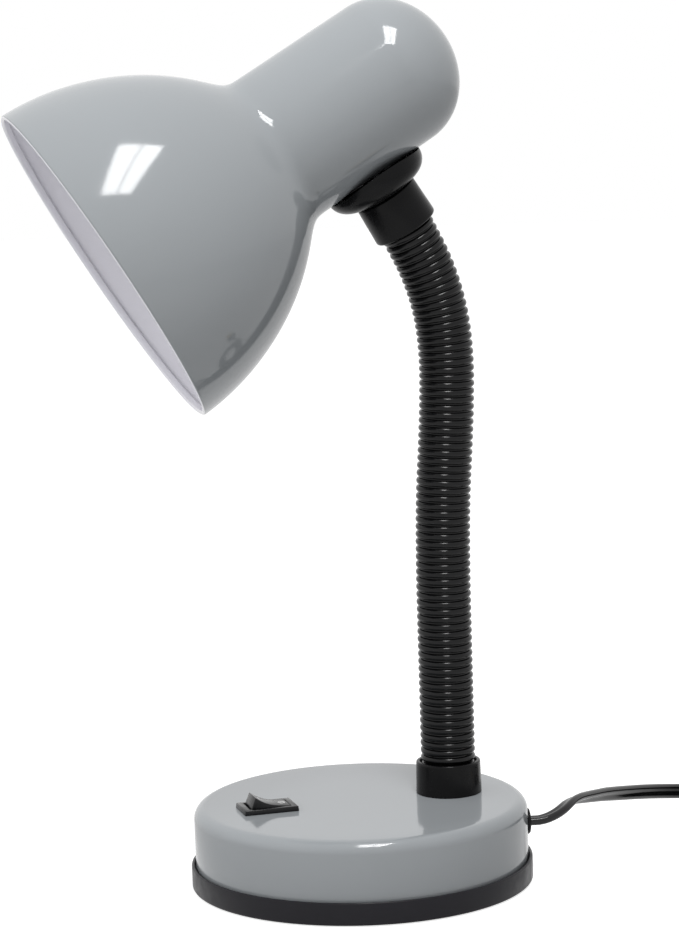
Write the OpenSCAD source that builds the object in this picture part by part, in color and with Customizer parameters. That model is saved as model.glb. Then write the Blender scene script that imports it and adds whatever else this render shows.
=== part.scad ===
// Gooseneck desk lamp: round weighted base with a rocker switch, a ribbed bendable neck and
// a spun steel shade that swivels on the neck's end. Millimetres, +Z up. The origin is the
// middle of the base's underside, the switch side is -Y, and the neck and cord are at +Y.

/* [Base] */
// Diameter of the black tray round the foot of the base
tray_d = 134; // [124:1:150]
// Height of the tray's wall above the table
tray_h = 9.3; // [8:0.1:12]
// Thickness of the tray's wall
tray_wall = 1.3; // [1:0.1:2]
// Thickness of the tray's floor
tray_floor = 2; // [1.8:0.1:3]
// Height of the tray's underside above the table
tray_lift = 0.4; // [0.2:0.1:0.6]
// Width of the bevel on the tray's lip
tray_bevel = 0.6; // [0.2:0.1:1]
// Height of the steel cover's top above the table
base_h = 32.2; // [30:0.1:38]
// Thickness of the cover's sheet steel
cover_t = 1; // [0.6:0.1:1.5]
// Outer radius of the cover's rolled shoulder
shoulder_r = 4.8; // [2:0.1:7]
// Gap between the cover's wall and the tray's wall
cover_gap = 0.3; // [0.2:0.1:0.8]
// Thickness of the foam pad under the base
pad_t = 1; // [0.8:0.1:1.5]
// Diameter of the foam pad
pad_d = 108; // [60:1:112]
// Clearance between the iron weight and the cover's wall
weight_gap = 3.4; // [2.4:0.1:8]
// Thickness of the iron weight
weight_t = 12; // [8:0.5:12]
// Distance of the base's screws from the middle
screw_ring_r = 48; // [44:1:52]
// Diameter of the base's screws
screw_d = 4; // [3:0.1:5]

/* [Switch] */
// Distance of the switch's middle from the cover's wall
switch_inset = 27.7; // [24:0.1:34]
// Length of the switch's bezel, front to back
bezel_l = 21.4; // [21:0.1:24]
// Width of the switch's bezel
bezel_w = 14.8; // [14:0.1:17]
// Height of the bezel above the cover
bezel_h = 2; // [1:0.1:3]
// Length of the rocker
rocker_l = 15.2; // [14:0.1:15.6]
// Width of the rocker
rocker_w = 10.4; // [9:0.1:10.8]
// Angle between the rocker's middle and each of its two ends of travel
rocker_tilt = 12; // [8:1:14]

/* [Neck] */
// Distance of the neck's middle from the cover's wall
neck_inset = 28.9; // [24:0.1:34]
// Length of one link of the neck
link_l = 17.8; // [16:0.1:20]
// Ribs of the hose on one link
link_ribs = 6; // [4:1:8]
// Outside diameter of the ribbed hose
hose_d = 21.5; // [20:0.1:21.8]
// Bore of the ribbed hose
hose_bore = 17; // [15.4:0.1:18]
// Depth of the grooves between the ribs
rib_depth = 1.2; // [0.6:0.1:1.5]
// Outside diameter of the steel core's links
core_d = 14; // [13:0.1:15]
// Bore through the core for the lead
core_bore = 6.6; // [6:0.1:7]
// Diameter of the ball on each core link
ball_d = 12.4; // [12:0.1:12.6]
// Diameter of the threaded tubes at both ends of the core
stud_d = 10; // [9:0.1:10.6]
// Height of the plastic collar on the base
collar_h = 12.8; // [10:0.1:18]
// Diameter of the collar at the base
collar_d = 25.8; // [24.8:0.1:30]
// Diameter of the collar at its upper rim
collar_top_d = 24.4; // [24:0.1:28]

/* [Head] */
// Forward lean of the neck's end, which is also how far the shade points down
head_tilt = 31.15; // [20:0.05:40]
// Turn of the head on the neck's end at rest
head_turn = 2.7; // [-10:0.1:10]
// Length of the plastic ferrule at the neck's end
ferrule_h = 16; // [14:0.1:22]
// Diameter of the ferrule's open end
ferrule_d = 25.8; // [24.8:0.1:30]
// Diameter of the ferrule at the saddle
ferrule_top_d = 24.5; // [24:0.1:28]
// Height of the domed saddle under the barrel
saddle_h = 8; // [6:0.1:12]
// Diameter of the domed saddle
saddle_d = 40.8; // [34:0.1:44]
// Radius of the shade's mouth
mouth_r = 67.9; // [60:0.1:80]
// Depth of the bell's curve, mouth to where it would close
bell_depth = 86.7; // [78:0.1:92]
// Length of the whole shade along its axis
shade_l = 158.2; // [152:0.1:170]
// Radius of the barrel where the bell ends
barrel_front_r = 30; // [28:0.1:33]
// Radius of the barrel where its round end starts
barrel_back_r = 29.7; // [28:0.1:33]
// Depth of the barrel's round end
crown_depth = 25.6; // [20:0.1:30]
// Distance of the crown's air holes from the shade's axis
vent_ring_r = 6; // [5:0.1:9]
// Diameter of each of the crown's six air holes
vent_d = 3.2; // [2:0.1:4]
// Angle of the first air hole round the shade's axis
vent_turn = 335; // [300:1:359]
// Distance of the saddle from the shade's mouth
saddle_reach = 106.5; // [104:0.5:110]
// Thickness of the shade's sheet steel
shade_t = 0.6; // [0.5:0.1:1]
// Width of the rolled hem inside the mouth
hem_w = 3; // [2:0.1:5]
// Diameter of the bulb's globe
bulb_d = 58; // [45:0.5:60]
// Length of the bulb with its cap
bulb_l = 104; // [100:0.5:106]
// Outside diameter of the lamp holder
holder_d = 32.4; // [31.6:0.1:33]

/* [Cord] */
// Angle of the cord's exit round from the back of the base
exit_angle = 10; // [0:1:20]
// Height of the cord's exit above the table
exit_h = 20; // [18:0.1:22]
// Width of the flat two-core cord
cord_w = 6.2; // [6:0.1:6.4]
// Thickness of the flat two-core cord
cord_t = 3.2; // [3:0.1:3.4]
// Radius of the stored coil at its outermost turn
coil_r = 42; // [39:0.1:44]
// Turns on each of the coil's two layers, without the climb between them
coil_turns = 3.375; // [2.375:1:3.375]
// Diameter of the round flange on the cord's grommet
grommet_d = 10.5; // [10:0.1:12]
// Height by which the grommet's flange stands off the cover
grommet_h = 1.6; // [1:0.1:2.5]

/* [Hidden] */
eps = 0.01;
fit = 0.05;      // radial play of a pin or tube that turns in its hole
gap = 0.3;       // play between two bodies' other faces
$fn = 64;

link_count = 12;
// Lean of each link from upright at rest, backwards positive
LEAN = [0, 0, 0, 0, 1, 2, 4.5, 3.5, 1.5, -5.5, -16.5, -27];
HOSES = [for (i = [1 : link_count]) str("neck_hose_", i)];
CORES = [for (i = [1 : link_count]) str("neck_core_", i)];

// Sizes that follow from the ones above
tray_r = tray_d / 2;
cover_r = tray_r - tray_wall - cover_gap;
weight_r = cover_r - cover_t - weight_gap;
switch_reach = cover_r - switch_inset;
neck_reach = cover_r - neck_inset;
tray_top_z = pad_t + tray_floor;
weight_z = tray_top_z + 0.1;
weight_top_z = weight_z + weight_t;
cover_under_z = base_h - cover_t;
screw_r = screw_d / 2;
boss_r = screw_r + 1.6;
nut_r = stud_d * 0.9;
nut_h = 4.5;
washer_r = stud_d * 0.85;
washer_h = 1.2;
stud_r = stud_d / 2;
stud_bore_r = stud_r - 1.4;
neck_z = base_h + collar_h;
grip_l = 9;                       // hose length held inside each plastic sleeve
core_tip_z = 3;                   // how far the end links of the core reach past the hose's ends
hose_r = hose_d / 2;
sleeve_bore_r = hose_r + 0.4;
core_r = core_d / 2;
ball_r = ball_d / 2;
ball_play = 0.08;
rim_drop = 1.8;                   // from a joint's centre to the cup's rim, and to the shoulder above

// Foot of each link along the neck, and the neck's end
function link_foot(i) = i == 0 ? [0, neck_reach, neck_z]
    : link_foot(i - 1) + link_l * [0, sin(LEAN[i - 1]), cos(LEAN[i - 1])];
neck_end = link_foot(link_count);

// Heights along the head's stud, from the neck's end
saddle_z = ferrule_h + gap;
barrel_z = ferrule_h + saddle_h;
barrel_taper = atan((barrel_front_r - barrel_back_r) / (shade_l - crown_depth - bell_depth));
barrel_r = barrel_front_r - (saddle_reach - bell_depth) * tan(barrel_taper);
axis_z = barrel_z + barrel_r;
leg_t = 1.2;                      // strip of the holder's bracket
leg_w = 16;
leg_back = 9;                     // how far the strip reaches past the stud, towards the mouth
leg_r = barrel_r - shade_t - 0.1;          // outside of the strip at the stud
head_nut_h = 4;
// Outer face of the nut, from the shade's axis: clear of the curved strip however the head turns
head_nut_y = sqrt(pow(leg_r - leg_t, 2) - pow(leg_w / 2, 2)) - leg_back * tan(barrel_taper) - gap;
stud_top_y = head_nut_y - head_nut_h - 0.8;

module at_switch() translate([0, -switch_reach, base_h]) children();
module at_neck() translate([0, neck_reach, 0]) children();
module at_link(i) translate(link_foot(i)) rotate([-LEAN[i], 0, 0]) children();
module at_neck_end() translate(neck_end) rotate([head_tilt, 0, 0]) children();
module at_head() at_neck_end() rotate([0, 0, -head_turn]) children();
// Shade frame: +Z runs from the mouth to the crown, and +Y points at the stud
module at_shade() at_head() translate([0, -saddle_reach, axis_z]) rotate([-90, 0, 0]) children();
module tube(r, bore, h) difference() {
    cylinder(r = r, h = h);
    translate([0, 0, -1]) cylinder(r = bore, h = h + 2);
}
module hex_nut(r, bore, h) difference() {
    cylinder(r = r, h = h, $fn = 6);
    translate([0, 0, -1]) cylinder(r = bore, h = h + 2);
}
// A box centred on X and Y that stands on z = 0
module slab(x, y, z) translate([-x / 2, -y / 2, 0]) cube([x, y, z]);
module screw_places() for (a = [0, 120, 240]) rotate([0, 0, a]) translate([screw_ring_r, 0, 0]) children();

// A tube swept along points: each ring is an ellipse, w across the twist direction and t thick
function unit(v) = v / norm(v);
function heading(p, i) = unit(p[min(i + 1, len(p) - 1)] - p[max(i - 1, 0)]);
function level(d) = unit(cross(d, [0, 0, 1]));
function ring(c, d, w, t, twist, sides) =
    let (side = level(d), rise = cross(side, d),
         a = side * cos(twist) + rise * sin(twist), b = -side * sin(twist) + rise * cos(twist))
    [for (k = [0 : sides - 1]) let (q = 360 * (k + 0.5) / sides) c + a * cos(q) * w / 2 + b * sin(q) * t / 2];
module swept(p, w, t, twists, sides = 8) {
    n = len(p);
    points = [for (i = [0 : n - 1]) each ring(p[i], heading(p, i), w, t, twists[i], sides)];
    skin = [for (i = [0 : n - 2], k = [0 : sides - 1])
        let (a = i * sides + k, b = i * sides + (k + 1) % sides)
        each [[a, b, b + sides], [a, b + sides, a + sides]]];
    first = [for (k = [1 : sides - 2]) [0, k + 1, k]];
    last = [for (k = [1 : sides - 2]) let (o = (n - 1) * sides) [o, o + k, o + k + 1]];
    polyhedron(points, concat(skin, first, last));
}
function same(v, n) = [for (i = [1 : n]) v];

// ---- Base ----
module base_tray() color("#36363b") difference() {
    rotate_extrude() polygon([
        [0, tray_lift], [tray_r - tray_bevel, tray_lift], [tray_r, tray_lift + tray_bevel],
        [tray_r, tray_h - tray_bevel], [tray_r - tray_bevel, tray_h], [tray_r - tray_wall, tray_h],
        [tray_r - tray_wall, tray_top_z], [0, tray_top_z]]);
    translate([0, 0, -1]) cylinder(d = pad_d + 1, h = pad_t + 1);
    screw_places() translate([0, 0, -1]) cylinder(r = screw_r + fit, h = tray_top_z + 2);
    screw_places() translate([0, 0, -1]) cylinder(r = 2 * screw_r, h = pad_t + 1 + tray_floor / 2);
}
module base_pad() color("#2b2b2e") cylinder(d = pad_d, h = pad_t);
module base_weight() color("#5b5b5e") translate([0, 0, weight_z]) difference() {
    cylinder(r = weight_r, h = weight_t);
    screw_places() translate([0, 0, -1]) cylinder(r = screw_r + fit, h = weight_t + 2);
}
module base_screws() color("#b9bbc0") screw_places() {
    translate([0, 0, pad_t]) cylinder(r = 2 * screw_r - 0.2, h = tray_floor / 2);
    translate([0, 0, pad_t]) cylinder(r = screw_r, h = cover_under_z - pad_t - 6);
}
module base_cover() color("#8f9499") difference() {
    union() {
        rotate_extrude() difference() {
            cover_outline(cover_r, base_h, shoulder_r);
            cover_outline(cover_r - cover_t, cover_under_z, shoulder_r - cover_t);
        }
        screw_places() translate([0, 0, weight_top_z + 0.1])
            cylinder(r = boss_r, h = cover_under_z - weight_top_z - 0.1 + eps);
    }
    screw_places() cylinder(r = screw_r + fit, h = cover_under_z - 3);
    at_switch() translate([0, 0, -3]) slab(bezel_w - 2 + 2 * fit, bezel_l - 2.4 + 2 * fit, 6);
    at_neck() translate([0, 0, cover_under_z - 2]) cylinder(r = stud_r + 0.1, h = cover_t + 4);
    at_exit() translate([0, 0, -4]) cylinder(d = grommet_d - 2.4, h = 6);
}
// Half section of the cover's outside: wall, rolled shoulder and top
module cover_outline(r, top, corner) {
    arc = [for (a = [0 : 10 : 90]) [r - corner + corner * cos(a), top - corner + corner * sin(a)]];
    polygon(concat([[0, tray_top_z + 0.1], [r, tray_top_z + 0.1]], arc, [[0, top]]));
}

// ---- Switch ----
cavity_l = rocker_l + 1.6;
cavity_w = rocker_w + 0.6;
housing_l = bezel_l - 2.4;
housing_w = bezel_w - 2;
housing_drop = 11;              // depth of the housing under the cover's top
pivot_z = -1.2;                 // height of the rocker's pivot above the cover's top
pivot_r = 1.2;
module switch_housing() color("#17171a") at_switch() difference() {
    union() {
        hull() {
            slab(bezel_w, bezel_l, bezel_h - 0.7);
            slab(bezel_w - 1.4, bezel_l - 1.4, bezel_h);
        }
        translate([0, 0, -housing_drop]) slab(housing_w, housing_l, housing_drop + eps);
    }
    translate([0, 0, -housing_drop + 1.5]) slab(cavity_w, cavity_l, housing_drop + bezel_h);
    translate([-housing_w / 2 + 0.4, 0, pivot_z]) rotate([0, 90, 0])
        cylinder(r = pivot_r + fit, h = housing_w - 0.8);
    for (y = [-1, 1]) translate([0, y * housing_l / 4, -housing_drop - 1])
        slab(4.8 + 2 * fit, 0.8 + 2 * fit, 4);
}
// The rocker turns about the pins at its middle; at rest its front end stands up
module at_rocker() at_switch() translate([0, 0, pivot_z]) rotate([-rocker_tilt, 0, 0]) children();
module switch_rocker() color("#1d1d20") at_rocker() {
    rotate([90, 0, 90]) translate([0, 0, -rocker_w / 2]) linear_extrude(rocker_w) rocker_outline();
    translate([-housing_w / 2 + 0.5, 0, 0]) rotate([0, 90, 0]) cylinder(r = pivot_r, h = housing_w - 1);
}
// Side view of the rocker: two sloping pads that meet in a shallow valley
module rocker_outline() {
    half = rocker_l / 2;
    crest = 4.6;
    valley = 2.6;
    pad = [for (t = [-1 : 0.25 : 1]) [-t * (half - 0.5), valley + (crest - valley) * pow(abs(t), 1.6)]];
    polygon(concat([[-half, crest - 1.2], [-half + 1.2, -1.4], [-3, -3.2], [3, -3.2], [half - 1.2, -1.4],
        [half, crest - 1.2]], pad));
}
module switch_blade() color("#c9a45c") at_rocker() translate([0, 0, -4]) {
    slab(3, 11, 0.4);
    slab(2, 2, 0.8);
}
module switch_terminals() color("#c9a45c") at_switch()
    for (y = [-1, 1]) translate([0, y * housing_l / 4, -housing_drop - 4.6]) slab(4.8, 0.8, 9.15);

// ---- Cord exit and wiring in the base ----
grommet_z = 3.2;                // depth of the grommet inside the cover
module at_exit() rotate([0, 0, -exit_angle]) translate([0, cover_r, exit_h]) rotate([-90, 0, 0]) children();
module cord_slot(h) slab(cord_w + 2 * fit, cord_t + 2 * fit, h);
module cord_grommet() color("#131316") at_exit() difference() {
    union() {
        rotate_extrude() polygon([[0, 0.1], [grommet_d / 2, 0.1], [grommet_d / 2, 0.5],
            [grommet_d / 2 - 0.9, 1.1], [grommet_d / 2 - 2, grommet_h], [0, grommet_h]]);
        translate([0, 0, -grommet_z]) cylinder(d = grommet_d - 2.5, h = grommet_z + 0.2);
        translate([0, 0, -grommet_z]) cylinder(d = grommet_d - 1, h = grommet_z - cover_t - 0.4);
    }
    translate([0, 0, -grommet_z - 1]) cord_slot(grommet_z + grommet_h + 2);
}
exit_r = cover_r + grommet_h;
exit_dir = [sin(exit_angle), cos(exit_angle), 0];
exit_point = exit_r * exit_dir + [0, 0, exit_h];
// Routes inside the base were picked for a neck 36.5 and a switch 37.7 from the middle: their
// ends follow the neck and the switch
function routed(points) = [for (p = points) p
    + [0, (neck_reach - 36.5) * max(0, min(1, (p.y - 8) / 27)), 0]
    + [0, (37.7 - switch_reach) * max(0, min(1, (-9.1 - p.y) / 23.3)), 0]];
// Inside the base the cord runs over the weight to the two crimped connectors
INNER = [[9.1, 52, 20], [7.4, 45, 19.6], [4.2, 37, 18.6], [0.6, 30, 18], [-3.2, 23, 18], [-6.6, 16, 18],
    [-9, 9, 18], [-9, 4.1, 18]];
module cord_inner() color("#131316")
    swept(concat([exit_point, exit_point - 8 * exit_dir], routed(INNER)), cord_w, cord_t, same(0, len(INNER) + 2));
connector_at = [-9, 4, 18];
module cord_connectors() color("#d8d8d2") for (k = [-1, 1])
    translate(connector_at + [k * 3.6, 0, 0]) rotate([90, 0, 0]) cylinder(r = 2.8, h = 13);
// One lead to the switch's rear blade, one from its front blade back to the neck, one straight to the neck
LEADS = [
    [[-5.4, -9.1, 18], [-5.4, -14, 18], [-3.6, -20, 18], [-1, -25, 18], [0, -29.5, 18], [0, -32.4, 18]],
    [[0, -43, 18], [0, -45.5, 18], [2.5, -48.3, 18], [8, -48, 18], [11.5, -42, 18], [12, -30, 18],
     [10.5, -12, 18], [9.5, 8, 18], [10, 22, 19], [9, 30, 20.4], [6, 35, 21.4], [0.8, 36.8, 21.5]],
    [[-12.6, -9.1, 18], [-13, -13, 18], [-17, -14.5, 18], [-20.5, -10, 18], [-20.5, 4, 18], [-17, 18, 18.4],
     [-12, 27, 19.4], [-6.5, 33.5, 20.8], [-1, 36.8, 21.5]]];
module base_leads() color("#1b1b1e") for (p = LEADS) swept(routed(p), 1.8, 1.8, same(0, len(p)), 6);

// ---- Free cord, its stored coil and the plug ----
// Hand-picked route of the free cord, from the grommet to the coil
coil_at = [-19, 198];
coil_z = 4;                      // height of the lower layer's middle
RUN = [[12.3, 73.1, 20.6], [11.5, 76.7, 21.6], [9.7, 80.1, 22.7], [7, 83, 23.5], [3.4, 86.3, 23.9],
    [-0.7, 90.2, 23.6], [-5.4, 94.8, 22.6], [-11.4, 100.9, 21.2], [-17.7, 107.3, 19.7], [-24.8, 115, 17.7],
    [-31.6, 122.8, 15.7], [-38.2, 131, 13.7], [-46, 141.6, 11.1], [-52.3, 151.8, 8.7], [-56.9, 161.8, 6.7],
    [-59.8, 171.8, 5], [-61, 181.7, 4]];
TWIST = [0, 0, 2, 6, 11, 17, 24, 32, 41, 51, 61, 71, 79, 85, 89, 90, 90, 90, 90, 90];
// The run ends one cord's width before the coil's first turn, which starts straight
run_end = [coil_at[0] - coil_r, coil_at[1] - cord_w, coil_z];
module cord_run() color("#131316")
    swept(concat([exit_point, exit_point + 3.5 * exit_dir], RUN, [run_end]), cord_w, cord_t, TWIST);
// The coil spirals in on the lower layer, climbs in half a turn and spirals out on the upper one
coil_pitch = cord_t + 0.8;
coil_rise = cord_w + 0.6;
turn_steps = 24;
climb = 0.5;
coil_sweep = 2 * coil_turns + climb;
function coil_radius(t) = coil_r - coil_pitch * (t < coil_turns ? t
    : t < coil_turns + climb ? coil_turns : coil_sweep - t);
function coil_height(t) = coil_z + coil_rise * (t < coil_turns ? 0
    : t < coil_turns + climb ? (1 - cos(180 * (t - coil_turns) / climb)) / 2 : 1);
function coil_point(t) = [coil_at[0] - coil_radius(t) * cos(360 * t),
    coil_at[1] + coil_radius(t) * sin(360 * t), coil_height(t)];
coil_end = coil_point(coil_sweep) + [cord_w, 0, 0];
COIL = concat([run_end], [for (k = [0 : coil_sweep * turn_steps]) coil_point(k / turn_steps)], [coil_end]);
module cord_coil() color("#131316") swept(COIL, cord_w, cord_t, same(90, len(COIL)), 6);
// The coil is one unbroken tube: its least gap to itself, between the corners of each ring and
// points along the edges of the rings one or more turns further on
function coil_ring(i) = ring(COIL[i], heading(COIL, i), cord_w, cord_t, 90, 6);
function edge_points(q) = [for (k = [0 : 5], f = [0 : 0.25 : 0.75]) q[k] * (1 - f) + q[(k + 1) % 6] * f];
function ring_gap(a, b) = min([for (p = a, q = b) norm(p - q)]);
echo(coil_least_gap = min([  // cord_coil
    for (i = [1 : len(COIL) - 2]) let (a = coil_ring(i))
        for (j = [i + turn_steps - 1 : turn_steps : len(COIL) - 1], d = [0 : 2])
            if (j + d < len(COIL)) ring_gap(a, edge_points(coil_ring(j + d)))]));
plug_l = 34;
plug_w = 24;
plug_h = 14;
plug_at = [coil_end[0] + 41, coil_end[1] + 1, plug_h / 2];
TAIL = [coil_end + [5, 0, 0], coil_end + [12, 0.2, -0.4], coil_end + [20, 0.6, -1.6], plug_at + [-12, 0, 0.9],
    plug_at + [-5, 0, 0], plug_at];
module cord_tail() color("#131316")
    swept(concat([coil_end], TAIL), cord_w, cord_t, [90, 88, 75, 50, 25, 5, 0]);
// A twist tie round the coil's bundle, at the side away from the cord's arrival
module cord_tie() color("#1f1f22")
    translate([coil_at[0] + coil_r - coil_pitch * (coil_turns + 0.5) / 2, coil_at[1], coil_z + coil_rise / 2])
        rotate([90, 0, 0]) translate([0, 0, -2]) linear_extrude(4) difference() {
            square([coil_pitch * (coil_turns - 0.5) + cord_t + 1.8, coil_rise + cord_w + 1.4], center = true);
            square([coil_pitch * (coil_turns - 0.5) + cord_t + 0.8, coil_rise + cord_w + 0.4], center = true);
        }
module plug_body() color("#131316") translate(plug_at) {
    rotate([0, 90, 0]) cylinder(r1 = 4.4, r2 = 5.8, h = 12);
    hull() for (x = [10, plug_l - 2], y = [-1, 1], z = [-1, 1])
        translate([x, y * (plug_w / 2 - 3), z * (plug_h / 2 - 3)])
            rotate([0, 90, 0]) cylinder(r = 3, h = 2, $fn = 32);
}
module plug_blades() color("#c9a45c") translate(plug_at) for (y = [-1, 1])
    translate([plug_l, y * 6.35 - 0.75, -3.175]) cube([17, 1.5, 6.35]);

// ---- Neck ----
module lower_collar() color("#131316") at_neck() translate([0, 0, base_h]) difference() {
    rotate_extrude() polygon([[0, 0], [collar_d / 2, 0], [collar_top_d / 2, collar_h - 0.8],
        [collar_top_d / 2 - 0.5, collar_h], [0, collar_h]]);
    translate([0, 0, collar_h - grip_l - 0.4]) cylinder(r = sleeve_bore_r, h = grip_l + 1);
    translate([0, 0, -1]) cylinder(r = stud_r + fit, h = collar_h);
}
lower_stud_z = cover_under_z - nut_h - washer_h - 2;
module lower_stud() color("#c2c4c8") at_neck() translate([0, 0, lower_stud_z])
    tube(stud_r, stud_bore_r, neck_z - core_tip_z - lower_stud_z);
module lower_washer() color("#b9bbc0") at_neck() translate([0, 0, cover_under_z - washer_h])
    tube(washer_r, stud_r + fit, washer_h);
module lower_nut() color("#b9bbc0") at_neck() translate([0, 0, cover_under_z - washer_h - nut_h])
    hex_nut(nut_r, stud_r + fit, nut_h);

// One bead of the hose: groove, round flank, crown, round flank
rib_pitch = link_l / link_ribs;
groove_r = hose_r - rib_depth;
function bead(z) = [for (a = [-90 : 30 : 90])
    [groove_r + rib_depth * cos(a), z + rib_pitch / 2 + rib_pitch * 0.36 * sin(a)]];
module ribs(first, last) rotate_extrude() polygon(concat(
    [[hose_bore / 2, first * rib_pitch], [groove_r, first * rib_pitch]],
    [for (k = [first : last - 1]) each bead(k * rib_pitch)],
    [[groove_r, last * rib_pitch], [hose_bore / 2, last * rib_pitch]]));
// Lean of the plane in which link i meets the link below it
function seam(i) = i == 0 ? LEAN[0] : i == link_count ? LEAN[link_count - 1] : (LEAN[i - 1] + LEAN[i]) / 2;
module above(i) translate(link_foot(i)) rotate([-seam(i), 0, 0]) translate([0, 0, fit / 2]) slab(60, 60, 60);
grip_ribs = 2;
module neck_hose(i) color("#141416") {
    first = i == 0 ? -grip_ribs : -1;
    last = i == link_count - 1 ? link_ribs + grip_ribs : link_ribs + 1;
    intersection() {
        at_link(i) ribs(first, last);
        if (i > 0) above(i); else at_link(i) translate([0, 0, -30]) slab(60, 60, 120);
        if (i < link_count - 1) translate(link_foot(i + 1)) rotate([-seam(i + 1), 0, 0])
            translate([0, 0, -60 - fit / 2]) slab(60, 60, 60);
    }
}
// A core link: a ball at its foot, which sits in the cup at the head of the link below
module neck_core(i) color("#9a9da2") at_link(i) difference() {
    union() {
        if (i > 0) sphere(r = ball_r);
        translate([0, 0, i > 0 ? rim_drop : -core_tip_z])
            cylinder(r = core_r, h = (i < link_count - 1 ? link_l - rim_drop : link_l + core_tip_z)
                - (i > 0 ? rim_drop : -core_tip_z));
    }
    if (i < link_count - 1) translate([0, 0, link_l]) sphere(r = ball_r + ball_play);
    translate([0, 0, -ball_r - core_tip_z]) cylinder(d = core_bore, h = link_l + 2 * ball_r + 2 * core_tip_z);
}
// The two-core lead inside the neck, from under the cover to the barrel
function end_point(z) = neck_end + z * [0, -sin(head_tilt), cos(head_tilt)];
LEAD = concat([[0, neck_reach, lower_stud_z - 1], [0, neck_reach, base_h]],
    [for (i = [0 : link_count]) link_foot(i)],
    [end_point(core_tip_z + 4), end_point(axis_z - stud_top_y)]);
module neck_lead() color("#1b1b1e") swept_in_plane(LEAD, 3.8);
// Like swept, for a path that stays in the plane x = 0 and may stand upright
module swept_in_plane(p, d, sides = 8) {
    n = len(p);
    points = [for (i = [0 : n - 1]) let (up = heading(p, i), out = cross([1, 0, 0], up))
        each [for (k = [0 : sides - 1]) let (q = 360 * (k + 0.5) / sides)
            p[i] + ([cos(q), 0, 0] + out * sin(q)) * d / 2]];
    skin = [for (i = [0 : n - 2], k = [0 : sides - 1])
        let (a = i * sides + k, b = i * sides + (k + 1) % sides)
        each [[a, b + sides, b], [a, a + sides, b + sides]]];
    first = [for (k = [1 : sides - 2]) [0, k, k + 1]];
    last = [for (k = [1 : sides - 2]) let (o = (n - 1) * sides) [o, o + k + 1, o + k]];
    polyhedron(points, concat(skin, first, last));
}

// ---- Head ----
module upper_ferrule() color("#131316") at_neck_end() difference() {
    rotate_extrude() polygon([[0, 0], [ferrule_d / 2 - 1, 0], [ferrule_d / 2, 1.2],
        [ferrule_top_d / 2, ferrule_h], [0, ferrule_h]]);
    translate([0, 0, -1]) cylinder(r = sleeve_bore_r, h = grip_l + 1);
    translate([0, 0, -1]) cylinder(r = stud_r + fit, h = ferrule_h + 2);
}
module upper_stud() color("#c2c4c8") at_neck_end() translate([0, 0, core_tip_z + 0.5])
    tube(stud_r, stud_bore_r, axis_z - stud_top_y - core_tip_z - 0.5);
module upper_nut() color("#b9bbc0") at_shade() translate([0, head_nut_y, saddle_reach]) rotate([90, 0, 0])
    hex_nut(nut_r, stud_r + fit, head_nut_h);
module stud_hole(r) translate([0, barrel_r + 6, saddle_reach]) rotate([90, 0, 0])
    cylinder(r = r, h = barrel_r);
module head_saddle() color("#131316") at_head() difference() {
    rotate_extrude() polygon(concat(
        [[0, saddle_z], [ferrule_top_d / 2 + 0.5, saddle_z]],
        [for (a = [0 : 10 : 90]) [ferrule_top_d / 2 + 1 + (saddle_d / 2 - ferrule_top_d / 2 - 1) * sin(a),
            saddle_z + 0.5 + (saddle_h - 1.2) * (1 - cos(a))]],
        [[saddle_d / 2, barrel_z + 6], [0, barrel_z + 6]]));
    translate([0, 0, barrel_z - 0.1]) rotate([barrel_taper, 0, 0]) translate([0, 0, saddle_cut_r])
        rotate([90, 0, 0]) cylinder(r = saddle_cut_r, h = 2 * saddle_d, center = true, $fn = 180);
    cylinder(r = stud_r + fit, h = axis_z);
    translate([0, 0, saddle_z + 3.5]) cylinder(r = saddle_d / 2 - 6, h = axis_z);
}
saddle_cut_r = 60;

// Radius of the shade at distance s from the mouth: a bell and a barrel, blended where they meet
blend = 12;
bell_power = 1.863;               // 2 would make the bell an ellipse
function bell_at(s, in) = s < bell_depth - in
    ? (mouth_r - in) * pow(1 - pow(s / (bell_depth - in), bell_power), 1 / bell_power) : 0;
function barrel_at(s, in) = let (back = shade_l - crown_depth)
    s < back ? barrel_back_r - in + (back - s) * tan(barrel_taper)
    : (barrel_back_r - in) * sqrt(max(0, 1 - pow((s - back) / (crown_depth - in), 2)));
function shade_at(s, in) = let (a = bell_at(s, in) / mouth_r, b = barrel_at(s, in) / mouth_r)
    s > bell_depth + 12 ? barrel_at(s, in)
    : mouth_r * pow(pow(a, blend) + pow(max(b, eps), blend), 1 / blend);
shade_steps = concat([for (s = [0 : 4.6 : 56]) s], [for (s = [58.5 : 2.6 : bell_depth + 11]) s],
    [for (s = [bell_depth + 14 : 12 : shade_l - crown_depth - 4]) s]);
function crown_steps(in) = [for (a = [0 : 9 : 90]) shade_l - crown_depth + (crown_depth - in) * sin(a)];
// The line ends exactly on the axis: a radius of a millionth there stalls the exact rebuild
function shade_line(in) = [for (s = concat(shade_steps, crown_steps(in)))
    [s > shade_l - in - eps ? 0 : shade_at(s, in), s]];
module shade() color("#8f9499") at_shade() difference() {
    rotate_extrude() {
        polygon(concat(shade_line(0), reverse(shade_line(shade_t))));
        hem();
    }
    stud_hole(stud_r + gap);
    for (k = [0 : 5]) rotate([0, 0, vent_turn + 60 * k]) translate([vent_ring_r, 0, shade_l - crown_depth])
        cylinder(r = vent_d / 2, h = crown_depth + 1, $fn = 24);
}
function reverse(v) = [for (k = [len(v) - 1 : -1 : 0]) v[k]];
// The mouth's edge is rolled inwards into a flat band
module hem() polygon(concat([[mouth_r - 0.3, hem_w], [mouth_r - shade_t - 1.4, hem_w]],
    [for (a = [180 : 30 : 360]) [mouth_r - 1 + 1 * cos(a), 1 + 1 * sin(a)]]));

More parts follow.
